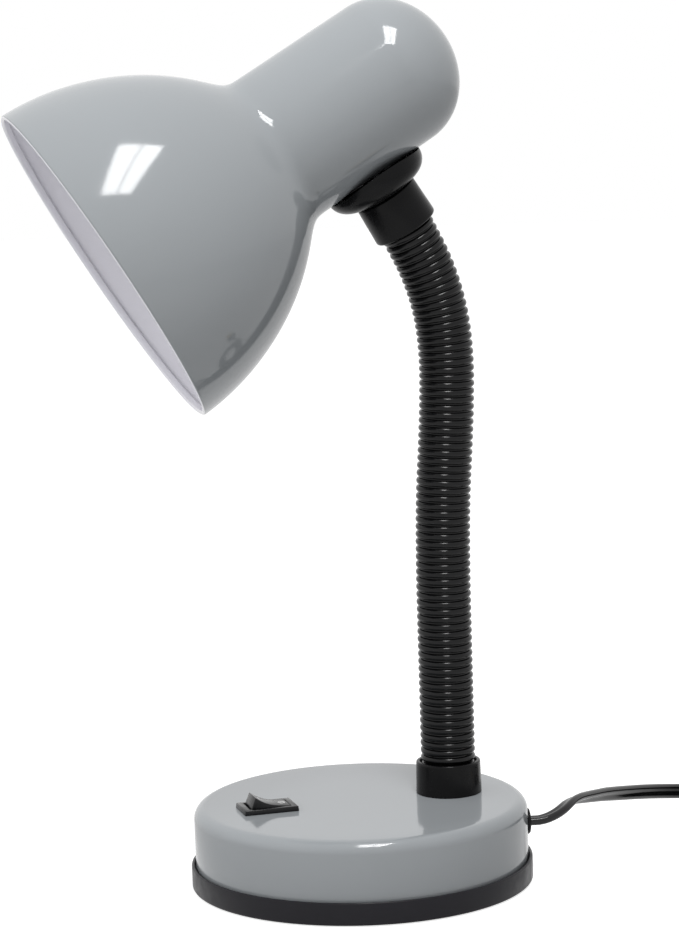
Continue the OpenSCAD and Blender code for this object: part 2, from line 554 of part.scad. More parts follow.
holder_r = holder_d / 2;
holder_z = 97;
holder_l = 37;
cap_r = 13.1;
shell_z = holder_z + 1;
module holder_bracket() color("#b9bbc0") at_shade() difference() {
    union() {
        intersection() {
            rotate_extrude() polygon(concat(leg_line(0), reverse(leg_line(leg_t))));
            translate([-leg_w / 2, 0, 0]) cube([leg_w, leg_r + 5, shade_l]);
        }
        intersection() {
            translate([-leg_w / 2, -15, holder_z + holder_l]) cube([leg_w, 15 + leg_r, leg_t]);
            cylinder(r = leg_line(leg_t / 2)[2][0], h = shade_l);
        }
    }
    stud_hole(stud_r + gap);
    for (y = [-1, 1]) translate([0, y * 9, holder_z]) cylinder(r = 1.5 + fit, h = holder_l + 5);
}
// The strip follows the inside of the barrel, round the shoulder of its round end
LEG = [saddle_reach - leg_back, shade_l - crown_depth, holder_z + holder_l + leg_t];
function leg_line(in) = [for (s = LEG) [shade_at(s, shade_t) - 0.1 - in, s]];
module holder_body() color("#e4e2dc") at_shade() translate([0, 0, holder_z]) difference() {
    cylinder(r = holder_r, h = holder_l);
    translate([0, 0, -1]) cylinder(r = cap_r + 1, h = holder_l - 6);
    for (y = [-1, 1]) translate([0, y * 9, holder_l - 6]) cylinder(r = 1.5 + fit, h = 7);
}
module holder_shell() color("#d8b45a") at_shade() translate([0, 0, shell_z])
    tube(cap_r + 0.9, cap_r + gap, holder_l - 8.2);
module holder_contact() color("#d8b45a") at_shade() translate([0, 0, holder_z + holder_l - 8]) {
    translate([0, 0, 0.4]) slab(5, 14, 0.6);
    slab(5, 5, 0.5);
}
module holder_screws() color("#b9bbc0") at_shade() for (y = [-1, 1])
    translate([0, y * 9, holder_z + holder_l]) {
        translate([0, 0, -5]) cylinder(r = 1.5, h = 5 + leg_t);
        translate([0, 0, leg_t]) cylinder(r = 3, h = 1.6);
    }
// Bulb: a globe that draws in to the screw cap
bulb_tip = holder_z + holder_l - 8.2;       // where the cap's tip meets the contact
bulb_top = bulb_tip - bulb_l;
cap_l = 24;
glass_t = 0.8;
bulb_r = bulb_d / 2;
neck_join = 50;                             // angle at which the globe turns into its neck
function globe(in) = [for (a = [0 : 10 : 180 - neck_join])
    [(bulb_r - in) * sin(a), bulb_top + bulb_r - (bulb_r - in) * cos(a)]];
function bulb_neck(in) = let (from = globe(in)[len(globe(in)) - 1], to = [cap_r - 0.6 - in, bulb_tip - cap_l])
    [for (t = [0.2 : 0.2 : 1]) [from[0] + (to[0] - from[0]) * sin(90 * t), from[1] + (to[1] - from[1]) * t]];
module bulb_glass() color("#f2f2ee") at_shade() rotate_extrude()
    polygon(concat(globe(0), bulb_neck(0), reverse(bulb_neck(glass_t)), reverse(globe(glass_t))));
module bulb_cap() color("#c2c4c8") at_shade() translate([0, 0, bulb_tip - cap_l]) {
    difference() {
        cylinder(r = cap_r, h = cap_l - 3);
        translate([0, 0, -1]) cylinder(r = cap_r - 0.6, h = cap_l - 3);
    }
    translate([0, 0, cap_l - 3]) cylinder(r1 = cap_r - 2, r2 = 5, h = 2.6);
    translate([0, 0, cap_l - 1]) cylinder(r = 3.6, h = 1);
}

base_tray();
base_pad();
base_weight();
base_screws();
base_cover();
switch_housing();
switch_rocker();
switch_blade();
switch_terminals();
cord_grommet();
cord_inner();
cord_connectors();
base_leads();
cord_run();
cord_coil();
cord_tail();
cord_tie();
plug_body();
plug_blades();
lower_collar();
lower_stud();
lower_washer();
lower_nut();
for (i = [0 : link_count - 1]) {
    neck_hose(i);
    neck_core(i);
}
neck_lead();
upper_ferrule();
upper_stud();
upper_nut();
head_saddle();
shade();
holder_bracket();
holder_body();
holder_shell();
holder_contact();
holder_screws();
bulb_glass();
bulb_cap();
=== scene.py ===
"""Gooseneck desk lamp: the visual model, built over the CAD frame, in metres and in the row's frame."""
import math

import bpy
import numpy as np
from mathutils import Matrix, Vector


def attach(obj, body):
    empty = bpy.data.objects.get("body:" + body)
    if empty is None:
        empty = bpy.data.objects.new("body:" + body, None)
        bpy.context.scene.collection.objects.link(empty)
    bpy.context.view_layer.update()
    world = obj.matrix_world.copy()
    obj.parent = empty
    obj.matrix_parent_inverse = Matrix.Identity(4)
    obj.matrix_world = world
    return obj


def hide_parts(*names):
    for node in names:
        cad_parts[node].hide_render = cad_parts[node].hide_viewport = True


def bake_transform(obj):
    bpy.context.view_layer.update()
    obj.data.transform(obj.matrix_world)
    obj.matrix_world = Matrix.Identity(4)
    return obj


bl_info = {
    "name": "Gooseneck desk lamp",
    "version": (1, 0, 0),
    "blender": (4, 5, 0),
    "location": "3D View > Sidebar > Lamp",
    "description": "Builds the lamp's visible pieces, finishes and studio over its CAD frame",
    "category": "Object",
}

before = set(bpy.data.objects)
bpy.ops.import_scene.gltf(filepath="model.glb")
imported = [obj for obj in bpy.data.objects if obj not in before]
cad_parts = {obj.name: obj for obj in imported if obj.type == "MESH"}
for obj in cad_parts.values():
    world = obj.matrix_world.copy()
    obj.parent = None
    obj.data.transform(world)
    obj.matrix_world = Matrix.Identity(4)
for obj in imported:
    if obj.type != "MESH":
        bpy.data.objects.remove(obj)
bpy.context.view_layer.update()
MM = 0.001


# ---------------------------------------------------------------- sizes and colours
def length(name, description, mm):
    return bpy.props.FloatProperty(
        name=name, description=description, default=mm * MM, unit="LENGTH", precision=5
    )


def count(name, description, default):
    return bpy.props.IntProperty(name=name, description=description, default=default, min=3)


def colour(name, description, hex_value):
    return bpy.props.FloatVectorProperty(
        name=name, description=description, subtype="COLOR", size=3, min=0, max=1, default=linear(hex_value)
    )


def linear(hex_value):
    """An sRGB hex colour such as '8c9297' as three linear values."""
    parts = [int(hex_value[i : i + 2], 16) / 255 for i in (0, 2, 4)]
    return tuple(p / 12.92 if p <= 0.04045 else ((p + 0.055) / 1.055) ** 2.4 for p in parts)


class BaseSizes(bpy.types.PropertyGroup):
    tray_radius: length("Tray radius", "Outside of the black tray round the base's foot", 67)
    tray_height: length("Tray height", "Top of the tray's lip above the table", 9.3)
    tray_lift: length("Tray lift", "Underside of the tray above the table", 0.4)
    tray_wall: length("Tray wall", "Thickness of the tray's lip", 1.3)
    cover_radius: length("Cover radius", "Outside of the steel cover", 65.4)
    cover_height: length("Cover height", "Top of the steel cover above the table", 32.2)
    shoulder: length("Shoulder", "Radius of the cover's rolled shoulder", 4.8)
    sheet: length("Sheet", "Thickness of the cover's steel", 1.0)


class SwitchSizes(bpy.types.PropertyGroup):
    reach: length("Reach", "Middle of the switch in front of the base's middle", 37.7)
    bezel_length: length("Bezel length", "Front to back", 21.7)
    bezel_width: length("Bezel width", "Side to side", 15.1)
    bezel_height: length("Bezel height", "Above the cover", 2.0)
    rocker_length: length("Rocker length", "Front to back", 15.2)
    rocker_width: length("Rocker width", "Side to side", 10.6)


class NeckSizes(bpy.types.PropertyGroup):
    reach: length("Reach", "Neck behind the base's middle", 36.5)
    foot: length("Foot", "Lower end of the free neck above the table", 45)
    link: length("Link", "Length of the neck that one body carries", 17.8)
    ribs: count("Ribs", "Ribs of the hose on one link", 6)
    hose_radius: length("Hose radius", "Outside of the ribs", 10.75)
    groove: length("Groove", "Depth between the ribs", 1.25)
    bore_radius: length("Bore radius", "Inside of the hose", 8.5)
    collar_radius: length("Collar radius", "Collar at the base", 12.9)
    collar_top_radius: length("Collar top radius", "Collar at its rim", 12.55)
    collar_height: length("Collar height", "Collar on the base", 12.8)


class HeadSizes(bpy.types.PropertyGroup):
    ferrule_height: length("Ferrule height", "Ferrule at the neck's end", 16)
    ferrule_radius: length("Ferrule radius", "Ferrule's open end", 12.9)
    ferrule_top_radius: length("Ferrule top radius", "Ferrule at the saddle", 12.25)
    saddle_radius: length("Saddle radius", "Domed saddle under the barrel", 20.4)
    saddle_height: length("Saddle height", "From the ferrule to the barrel", 8)
    mouth_radius: length("Mouth radius", "Shade's mouth", 67.9)
    shade_length: length("Shade length", "Along the shade's axis", 158.2)
    bell_depth: length("Bell depth", "Mouth to where the bell's curve would close", 86.7)
    barrel_front: length("Barrel front", "Barrel's radius at the bell", 30)
    barrel_back: length("Barrel back", "Barrel's radius at its round end", 29.7)
    crown_depth: length("Crown depth", "Depth of the barrel's round end", 25.6)
    saddle_reach: length("Saddle reach", "Saddle from the mouth, along the axis", 106.5)
    wall: length("Wall", "Thickness of the spun steel", 0.6)
    hem: length("Hem", "Width of the rolled hem in the mouth", 3.0)
    vent_ring: length("Vent ring", "Air holes in the crown from the shade's axis", 6)
    vent: length("Vent", "Diameter of each of the six air holes", 3.2)


class CordSizes(bpy.types.PropertyGroup):
    width: length("Width", "Across the two cores of the flat cord", 6.2)
    thickness: length("Thickness", "Through one core of the flat cord", 3.2)
    exit_radius: length("Exit radius", "Face of the grommet from the base's middle", 67)
    exit_height: length("Exit height", "Middle of the grommet above the table", 20)
    coil_radius: length("Coil radius", "Middle of the coil's outermost turn", 42)


class Paints(bpy.types.PropertyGroup):
    enamel: colour("Enamel", "Grey enamel of the shade and the base", "919598")
    lining: colour("Lining", "Pale enamel inside the shade", "edecf3")
    black: colour("Black", "Black polypropylene of the hose", "09090a")
    satin: colour("Satin black", "Black ABS of the collar, ferrule and saddle", "0c0c0d")
    tray: colour("Tray", "Black ABS of the tray", "17161b")


# ---------------------------------------------------------------- modelling helpers
def cosd(degrees):
    return math.cos(math.radians(degrees))


def sind(degrees):
    return math.sin(math.radians(degrees))


def shift(x, y, z):
    return Matrix.Translation((x, y, z))


def turn(degrees, axis):
    return Matrix.Rotation(math.radians(degrees), 4, axis)


def clear():
    """Leave edit mode and deselect everything."""
    if bpy.context.object and bpy.context.object.mode != "OBJECT":
        bpy.ops.object.mode_set(mode="OBJECT")
    bpy.ops.object.select_all(action="DESELECT")


def only(piece):
    """Select one piece and make it the active one."""
    clear()
    piece.select_set(True)
    bpy.context.view_layer.objects.active = piece


def smooth(angle):
    """Shade the active piece smooth, except across edges sharper than the angle in degrees."""
    bpy.ops.object.shade_smooth_by_angle(angle=math.radians(angle))


def settle(piece, place):
    """Move a piece to its place, and leave its origin at the frame's."""
    only(piece)
    piece.matrix_world = place @ piece.matrix_world
    bpy.ops.object.transform_apply(location=True, rotation=True, scale=True)


def finish_shape(piece, name, place=None, angle=40, doubles=0.000001):
    """Merge the poles, turn the faces outwards, smooth, and put the shape where it belongs."""
    only(piece)
    edit_all()
    bpy.ops.mesh.remove_doubles(threshold=doubles)
    bpy.ops.mesh.normals_make_consistent(inside=False)
    bpy.ops.object.mode_set(mode="OBJECT")
    smooth(angle)
    piece.name = piece.data.name = name
    if place is not None:
        settle(piece, place)
    return piece


def edit_all():
    """Go into edit mode with everything selected."""
    bpy.ops.object.mode_set(mode="EDIT")
    bpy.ops.mesh.select_all(action="SELECT")


def turned(name, profile, sides=128, place=None, angle=35):
    """A turned shape: a ring is added, then extruded through the profile's (radius, height) points."""
    pole, closed = 0.00001, 0.00003
    rings = [(max(r, pole), z) for r, z in profile]
    clear()
    bpy.ops.mesh.primitive_circle_add(vertices=sides, radius=rings[0][0], location=(0, 0, rings[0][1]))
    piece = bpy.context.object
    bpy.ops.object.transform_apply(location=True)
    edit_all()
    for (r0, z0), (r1, z1) in zip(rings, rings[1:]):
        bpy.ops.mesh.extrude_region_move(TRANSFORM_OT_translate={"value": (0, 0, z1 - z0)})
        bpy.ops.transform.resize(value=(r1 / r0, r1 / r0, 1), center_override=(0, 0, z1))
    bpy.ops.object.mode_set(mode="OBJECT")
    return finish_shape(piece, name, place, angle, closed)


def rod(name, radius, height, sides, place=None):
    """A plain round rod that stands on its place, or on the origin."""
    return turned(name, [(0, 0), (radius, 0), (radius, height), (0, height)], sides, place)


def arc(centre_r, centre_z, radius, start, end, steps):
    """Points of a rounded corner in a profile, angles in degrees from the radius axis."""
    turns = [start + (end - start) * k / steps for k in range(steps + 1)]
    return [(centre_r + radius * cosd(a), centre_z + radius * sind(a)) for a in turns]


def block(name, size, place=None, bevel=0.0004, segments=3, taper=1.0):
    """A moulded or stamped block that stands on its place: a cube, its top drawn in, its edges rounded."""
    clear()
    bpy.ops.mesh.primitive_cube_add(size=1, location=(0, 0, size[2] / 2), scale=size)
    piece = bpy.context.object
    bpy.ops.object.transform_apply(location=True, scale=True)
    for vertex in piece.data.vertices:
        if vertex.co.z > size[2] / 2:
            vertex.co.x *= taper
            vertex.co.y *= taper
    modify(piece, "BEVEL", width=bevel, segments=segments, limit_method="ANGLE")
    return finish_shape(piece, name, place)


def modify(piece, kind, **fields):
    """Add a modifier and apply it."""
    only(piece)
    modifier = piece.modifiers.new(kind, kind)
    for field, value in fields.items():
        setattr(modifier, field, value)
    bpy.ops.object.modifier_apply(modifier=modifier.name)


def cut(piece, cutters, angle=None):
    """Cut the other shapes out of the piece, delete them, and smooth it again if an angle is given."""
    for cutter in cutters:
        modify(piece, "BOOLEAN", object=cutter, operation="DIFFERENCE", solver="EXACT")
        bpy.data.objects.remove(cutter)
    if angle is not None:
        smooth(angle)


def copy(piece, name):
    """A copy with its own mesh."""
    twin = piece.copy()
    twin.data = piece.data.copy()
    twin.name = twin.data.name = name
    bpy.context.collection.objects.link(twin)
    return twin


def join(name, pieces):
    """Make one piece of several."""
    clear()
    for piece in pieces:
        piece.select_set(True)
    bpy.context.view_layer.objects.active = pieces[0]
    bpy.ops.object.join()
    pieces[0].name = pieces[0].data.name = name
    return pieces[0]


def hermite(t, start, leave, end, arrive):
    """Point at t, from 0 to 1, of the smooth curve that leaves start and arrives at end as given."""
    t2, t3 = t**2, t**3
    first = (2 * t3 - 3 * t2 + 1) * start + (t3 - 2 * t2 + t) * leave
    return first + (3 * t2 - 2 * t3) * end + (t3 - t2) * arrive


# ---------------------------------------------------------------- the neck's line and the head's place
# Lean of each link at rest, in degrees from upright: backwards, or forwards where it is negative
LEAN = [0, 0, 0, 0, 1, 2, 4.5, 3.5, 1.5, -5.5, -16.5, -27]
# The neck's end leans forwards by the tilt, and the head is turned on it
HEAD_TILT = 31.15
HEAD_TURN = 2.7
# The bell is a superellipse of this power, and runs into the barrel over this power
BELL_POWER = 1.863
BELL_TO_BARREL = 12
# Holes for the threaded studs, and the two-core lead in the neck
STUD_HOLE = 0.00505
LEAD_RADIUS = 0.0019


def along(i):
    """Direction of link i at rest."""
    return Vector((0, sind(LEAN[i]), cosd(LEAN[i])))


def link_foot(i, sizes):
    """Foot of link i at rest, and the neck's end for the last number."""
    place = Vector((0, sizes.reach, sizes.foot))
    for k in range(i):
        place += sizes.link * along(k)
    return place


def neck_end(sizes):
    return shift(*link_foot(len(LEAN), sizes)) @ turn(HEAD_TILT, "X")


def head_seat(sizes):
    """The head's frame on the neck's end: it stands turned a little."""
    return neck_end(sizes) @ turn(-HEAD_TURN, "Z")


def barrel_taper(head):
    return (head.barrel_front - head.barrel_back) / (head.shade_length - head.crown_depth - head.bell_depth)


def shade_place(neck, head):
    """Frame of the shade: +Z from the mouth to the crown, +Y towards the neck."""
    barrel = head.barrel_front - (head.saddle_reach - head.bell_depth) * barrel_taper(head)
    axis = head.ferrule_height + head.saddle_height + barrel
    return head_seat(neck) @ shift(0, -head.saddle_reach, axis) @ turn(-90, "X")


# ---------------------------------------------------------------- materials
def add(tree, kind, fields=None, **inputs):
    """Add a node with its fields. Each input, by name or as i and a number, gets a value or a link."""
    node = tree.nodes.new(kind)
    for field, value in (fields or {}).items():
        setattr(node, field, value)
    for key, value in inputs.items():
        numbered = key[0] == "i" and key[1:].isdigit()
        socket = node.inputs[int(key[1:]) if numbered else key.replace("_", " ")]
        if isinstance(value, bpy.types.NodeSocket):
            tree.links.new(value, socket)
        else:
            socket.default_value = value
    return node


def shader(name, metallic=0.0, ior=1.5, **sockets):
    """A new material; returns it, its tree, its shader and its object coordinates."""
    material = bpy.data.materials.new(name)
    material.use_nodes = True
    tree = material.node_tree
    tree.nodes.clear()
    surface = add(tree, "ShaderNodeBsdfPrincipled", Metallic=metallic, IOR=ior, **sockets)
    add(tree, "ShaderNodeOutputMaterial", Surface=surface.outputs[0])
    place = add(tree, "ShaderNodeTexCoord").outputs["Object"]
    return material, tree, surface, place


def noise(tree, place, size, detail):
    """Cloudy pattern in patches of the given size in metres."""
    return add(tree, "ShaderNodeTexNoise", Vector=place, Scale=1 / size, Detail=detail).outputs["Fac"]


def cells(tree, place, size):
    """Pattern of rounded cells of the given size in metres."""
    return add(tree, "ShaderNodeTexVoronoi", Vector=place, Scale=1 / size).outputs["Distance"]


def two_tones(tree, surface, pattern, low, high):
    """Colour between two tones, as a pattern says."""
    mix = add(tree, "ShaderNodeMix", {"data_type": "RGBA"}, Factor=pattern, i6=(*low, 1), i7=(*high, 1))
    tree.links.new(mix.outputs[2], surface.inputs["Base Color"])


def shades(tree, surface, place, low, high, size, detail=3.0):
    """Colour that drifts between two close tones over patches of the given size in metres."""
    two_tones(tree, surface, noise(tree, place, size, detail), low, high)


def roughen(tree, surface, pattern, low, high, start=0.0, end=1.0):
    """Roughness between two values, as a pattern says between start and end."""
    spread = add(
        tree, "ShaderNodeMapRange", Value=pattern, From_Min=start, From_Max=end, To_Min=low, To_Max=high
    )
    tree.links.new(spread.outputs[0], surface.inputs["Roughness"])


def gloss(tree, surface, place, low, high, size):
    """Roughness that drifts between two values, as handling and moulding leave it."""
    roughen(tree, surface, noise(tree, place, size, 4.0), low, high, 0.35, 0.65)


def relief(tree, surface, height, depth, strength):
    """Bump of a height pattern whose full range is depth metres."""
    bump = add(tree, "ShaderNodeBump", Height=height, Distance=depth, Strength=strength)
    tree.links.new(bump.outputs[0], surface.inputs["Normal"])


def darker(value, factor):
    return tuple(v * factor for v in value)


def enamel(name, tone, peel=0.0015):
    """Stoved enamel on steel: a wet gloss over a very faint orange peel, a shade deeper in patches."""
    material, tree, surface, place = shader(name, ior=1.42)
    shades(tree, surface, place, darker(tone, 0.985), darker(tone, 1.015), 0.03)
    gloss(tree, surface, place, 0.07, 0.12, 0.02)
    relief(tree, surface, noise(tree, place, peel, 1.0), 0.000002, 0.35)
    return material


def moulded(name, tone, low, high, grain=0.0004, depth=0.00001, ior=1.52):
    """Injection-moulded plastic: a spark-eroded grain, drawn coarse so that it shows, and soft flow marks."""
    material, tree, surface, place = shader(name, ior=ior)
    shades(tree, surface, place, darker(tone, 0.85), darker(tone, 1.2), 0.008)
    gloss(tree, surface, place, low, high, 0.005)
    relief(tree, surface, noise(tree, place, grain, 2.0), depth, 0.5)
    return material


def metal(name, tone, rough):
    """Bare or plated metal: fine drawn streaks along the piece and a roughness that varies with them."""
    streak, depth = (0.0006, 0.0006, 0.004), 0.000004
    material, tree, surface, place = shader(name, metallic=1.0)
    shades(tree, surface, place, darker(tone, 0.88), tone, 0.004)
    lay = add(tree, "ShaderNodeMapping", Vector=place, Scale=tuple(1 / s for s in streak))
    lines = noise(tree, lay.outputs[0], 1.0, 3.0)
    roughen(tree, surface, lines, rough * 0.75, rough * 1.3)
    relief(tree, surface, lines, depth, 0.4)
    return material


def cast(name, tone):
    """Sand-cast iron under a thin dip of primer: lumps of 1.5 mm and a dull, dusty surface."""
    material, tree, surface, place = shader(name)
    shades(tree, surface, place, darker(tone, 0.6), darker(tone, 1.2), 0.003, 6.0)
    gloss(tree, surface, place, 0.6, 0.85, 0.004)
    relief(tree, surface, cells(tree, place, 0.0015), 0.00015, 0.6)
    return material


def foam(name, tone):
    """Closed-cell EVA foam: cells of 0.8 mm, matt, with painted shade in the cell pits so that the cell walls
    look lighter.
    """
    material, tree, surface, place = shader(name)
    # One cell pattern drives both the relief and the painted shade: the colour is darker in the pits and
    # lighter on the walls
    cell_relief_and_shade = cells(tree, place, 0.0008)
    two_tones(tree, surface, cell_relief_and_shade, darker(tone, 0.6), darker(tone, 1.5))
    gloss(tree, surface, place, 0.8, 0.95, 0.01)
    relief(tree, surface, cell_relief_and_shade, 0.0002, 0.7)
    return material


def opal(name):
    """Opal glass: a white powder coat inside clear glass, soft and slightly translucent."""
    material, tree, surface, place = shader(
        name, Subsurface_Weight=0.35, Subsurface_Scale=0.003, Coat_Weight=0.6, Coat_Roughness=0.04
    )
    shades(tree, surface, place, linear("e9e8e2"), linear("f4f3ee"), 0.012)
    gloss(tree, surface, place, 0.12, 0.2, 0.006)
    relief(tree, surface, noise(tree, place, 0.006, 1.0), 0.00002, 0.3)
    return material


FINISH = {}


def wear(piece, *finishes):
    """Give a piece its finishes, one for each material slot in order."""
    piece.data.materials.clear()
    for key in finishes:
        piece.data.materials.append(FINISH[key])


def ready(piece, body, slot, finish, *nodes):
    """Take the finish, ride on a body, and stand for the CAD nodes."""
    wear(piece, finish)
    if body is not None:
        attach(piece, body)
    if nodes:
        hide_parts(*nodes)


# Finish of each CAD node that stays as it is
PLAIN = {
    "foam": ["base_pad"],
    "iron": ["base_weight"],
    "zinc": [
        "base_screws", "lower_stud", "lower_washer", "lower_nut",
        "upper_stud", "upper_nut", "holder_bracket", "holder_screws",
    ],
    "steel": [f"neck_core_{k + 1}" for k in range(len(LEAN))],
    "brass": ["switch_blade", "switch_terminals", "holder_contact", "holder_shell", "plug_blades"],
    "cord": ["cord_inner", "base_leads"],
    "nylon": ["cord_connectors"],
    "holder": ["holder_body"],
}  # fmt: skip


# ---------------------------------------------------------------- operators
class LAMP_OT_finishes(bpy.types.Operator):
    """Make every finish of the lamp, and put the plain ones on the CAD nodes that stay"""

    bl_idname = "lamp.finishes"
    bl_label = "Finishes"

    def execute(self, context):
        paint = context.scene.lamp_paints
        hose, satin, tray = tuple(paint.black), tuple(paint.satin), tuple(paint.tray)
        FINISH.update(
            enamel=enamel("Stoved enamel, grey", tuple(paint.enamel)),
            lining=enamel("Stoved enamel, pale lining", tuple(paint.lining), 0.002),
            hose=moulded("Polypropylene, glossy black", hose, 0.14, 0.22, 0.0006, 0.000004, 1.32),
            satin=moulded("ABS, satin black", satin, 0.2, 0.3, 0.0004, 0.000005, 1.22),
            tray=moulded("ABS, tray black", tray, 0.28, 0.42, ior=1.28),
            rocker=moulded("Nylon, switch black", linear("0e0e10"), 0.16, 0.26, depth=0.000005, ior=1.34),
            mark=moulded("Printing ink, white", linear("d8d8d8"), 0.4, 0.5),
            cord=moulded("Flexible PVC, glossy black", linear("0b0b0c"), 0.1, 0.18, 0.0012, 0.000003, 1.42),
            zinc=metal("Zinc-plated steel", linear("bfc2c6"), 0.3),
            steel=metal("Drawn steel", linear("8b8d90"), 0.38),
            brass=metal("Cartridge brass", linear("d9b765"), 0.24),
            cap=metal("Aluminium, bright rolled", linear("c9cbcd"), 0.2),
            iron=cast("Cast iron, primed", linear("4a4a4c")),
            foam=foam("EVA foam, black", linear("202021")),
            holder=moulded("PBT, off-white", linear("e6e3da"), 0.3, 0.42),
            nylon=moulded("Nylon, natural", linear("d4d3ca"), 0.35, 0.5),
            opal=opal("Opal glass"),
        )
        for finish, nodes in PLAIN.items():
            for node in nodes:
                wear(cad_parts[node], finish)
        return {"FINISHED"}


# Where the photograph was taken from: metres, degrees about X, Y and Z, and millimetres
CAMERA_AT = (1.2986, -0.36747, 0.37225)
CAMERA_TURN = (81.288, 1.809, 74.092)
CAMERA_LENS = 136.83
CAMERA_SENSOR = 36


class LAMP_OT_camera(bpy.types.Operator):
    """Set the camera where the photograph was taken from"""

    bl_idname = "lamp.camera"
    bl_label = "Camera"

    def execute(self, context):
        clear()
        bpy.ops.object.camera_add(location=CAMERA_AT, rotation=[math.radians(a) for a in CAMERA_TURN])
        camera = context.object
        camera.name = "view_camera"
        camera.data.sensor_fit = "VERTICAL"
        camera.data.sensor_height = CAMERA_SENSOR
        camera.data.lens = CAMERA_LENS
        camera.data.clip_start = 0.01
        camera.data.clip_end = 50
        context.scene.camera = camera
        return {"FINISHED"}


# Route of the free cord, as in the part's source, in millimetres
RUN = [
    (12.3, 73.1, 20.6), (11.5, 76.7, 21.6), (9.7, 80.1, 22.7), (7, 83, 23.5), (3.4, 86.3, 23.9),
    (-0.7, 90.2, 23.6), (-5.4, 94.8, 22.6), (-11.4, 100.9, 21.2), (-17.7, 107.3, 19.7), (-24.8, 115, 17.7),
    (-31.6, 122.8, 15.7), (-38.2, 131, 13.7), (-46, 141.6, 11.1), (-52.3, 151.8, 8.7), (-56.9, 161.8, 6.7),
    (-59.8, 171.8, 5), (-61, 181.7, 4),
]  # fmt: skip
# Its twist at the grommet, at each of these points and before the coil: 0 lies flat, 90 stands on edge
TWIST = [0, 0, 2, 6, 11, 17, 24, 32, 41, 51, 61, 71, 79, 85, 89, 90, 90, 90, 90, 90]
TAIL_TWIST = [88, 75, 50, 25, 5, 0]
EXIT_ANGLE = 10
# The coil: its middle in millimetres, its turns inwards, the part of a turn in which it climbs to the
# upper layer, the gaps between turns and between layers in millimetres, and the points on one turn
COIL_AT = (-19, 198, 4)
TURNS, CLIMB = 3.375, 0.5
COIL_GAPS = (0.8, 0.6)
COIL_POINTS = 36


def mm(x, y, z):
    """A place or a way given in millimetres."""
    return Vector((x, y, z)) * MM


def wall_exit(scene, radius):
    """Frame at the given radius where the cord leaves the base's wall, +Z outwards."""
    return turn(-EXIT_ANGLE, "Z") @ shift(0, radius, scene.lamp_cord.exit_height) @ turn(-90, "X")


def coil_steps(sizes):
    """From turn to turn and from layer to layer of the stored coil."""
    return sizes.thickness + COIL_GAPS[0] * MM, sizes.width + COIL_GAPS[1] * MM


def cord_route(sizes):
    """The cord's centreline from the grommet to the plug, in metres, and its twist there in degrees."""
    out = Vector((sind(EXIT_ANGLE), cosd(EXIT_ANGLE), 0))
    start = sizes.exit_radius * out + Vector((0, 0, sizes.exit_height))
    radius, (pitch, rise) = sizes.coil_radius, coil_steps(sizes)
    centre = mm(*COIL_AT)
    total = 2 * TURNS + CLIMB

    def coil(t):
        """Point of the coil after t turns: inwards below, up to the upper layer, and outwards above."""
        climbed = min(max((t - TURNS) / CLIMB, 0), 1)
        r = radius - pitch * min(t, TURNS, total - t)
        lift = rise * (1 - math.cos(math.pi * climbed)) / 2
        return centre + Vector((-r * cosd(360 * t), r * sind(360 * t), lift))

    before = centre + Vector((-radius, -sizes.width, 0))
    coiled = [coil(k / COIL_POINTS) for k in range(int(total * COIL_POINTS) + 1)]
    end = coil(total) + Vector((sizes.width, 0, 0))
    plug = Vector((end.x + 41 * MM, end.y + 1 * MM, 7 * MM))
    tail = [end + mm(5, 0, 0), end + mm(12, 0.2, -0.4), end + mm(20, 0.6, -1.6)]
    tail += [plug + mm(-12, 0, 0.9), plug + mm(-5, 0, 0), plug]
    points = [start, start + 3.5 * MM * out, *(mm(*p) for p in RUN), before, *coiled, end, *tail]
    return points, TWIST + [90] * (len(coiled) + 1) + TAIL_TWIST


def smooth_line(points, twist, spacing):
    """A smooth line through the points, with rings about the given spacing apart, and its twist."""
    knots = np.array([tuple(p) for p in points])
    gaps = np.linalg.norm(np.diff(knots, axis=0), axis=1)
    slope = np.gradient(knots, np.concatenate([[0], np.cumsum(gaps)]), axis=0)
    line, turn_of = [], []
    for i, gap in enumerate(gaps):
        n = max(1, round(gap / spacing))
        for t in (k / n for k in range(n)):
            line.append(hermite(t, knots[i], gap * slope[i], knots[i + 1], gap * slope[i + 1]))
            turn_of.append(twist[i] + (twist[i + 1] - twist[i]) * t)
    return np.array([*line, knots[-1]]), [*turn_of, twist[-1]]


def swept(name, line, section, twist):
    """A tube with the given section, a list of (across, up) points in metres, along a line."""
    n, m = len(line), len(section)
    heading = np.gradient(line, axis=0)
    heading /= np.linalg.norm(heading, axis=1)[:, None]
    rings = []
    for p, d, t in zip(line, heading, twist):
        side = np.cross(d, (0, 0, 1))
        side /= np.linalg.norm(side)
        rise = np.cross(side, d)
        across, up = side * cosd(t) + rise * sind(t), rise * cosd(t) - side * sind(t)
        rings += [p + across * u + up * v for u, v in section]
    faces = []
    for ring in range(0, (n - 1) * m, m):
        for k in range(m):
            after = (k + 1) % m
            faces.append((ring + k, ring + after, ring + m + after, ring + m + k))
    faces += [tuple(range(m)), tuple(range((n - 1) * m, n * m))]
    mesh = bpy.data.meshes.new(name)
    mesh.from_pydata([tuple(p) for p in rings], [], faces)
    piece = bpy.data.objects.new(name, mesh)
    bpy.context.collection.objects.link(piece)
    return finish_shape(piece, name, None, 50, 0.0000001)


def twin_section(width, thickness, steps=9):
    """Two round cores side by side, joined by a thin web: the groove shows along the flat side."""
    core, web = thickness / 2, 2.35
    off = width / 2 - core
    half = [(off + core * math.cos(a), core * math.sin(a)) for a in np.linspace(-web, web, steps)]
    return half + [(-x, -y) for x, y in half]


def limited(value, limit):
    return max(-limit, min(limit, value))


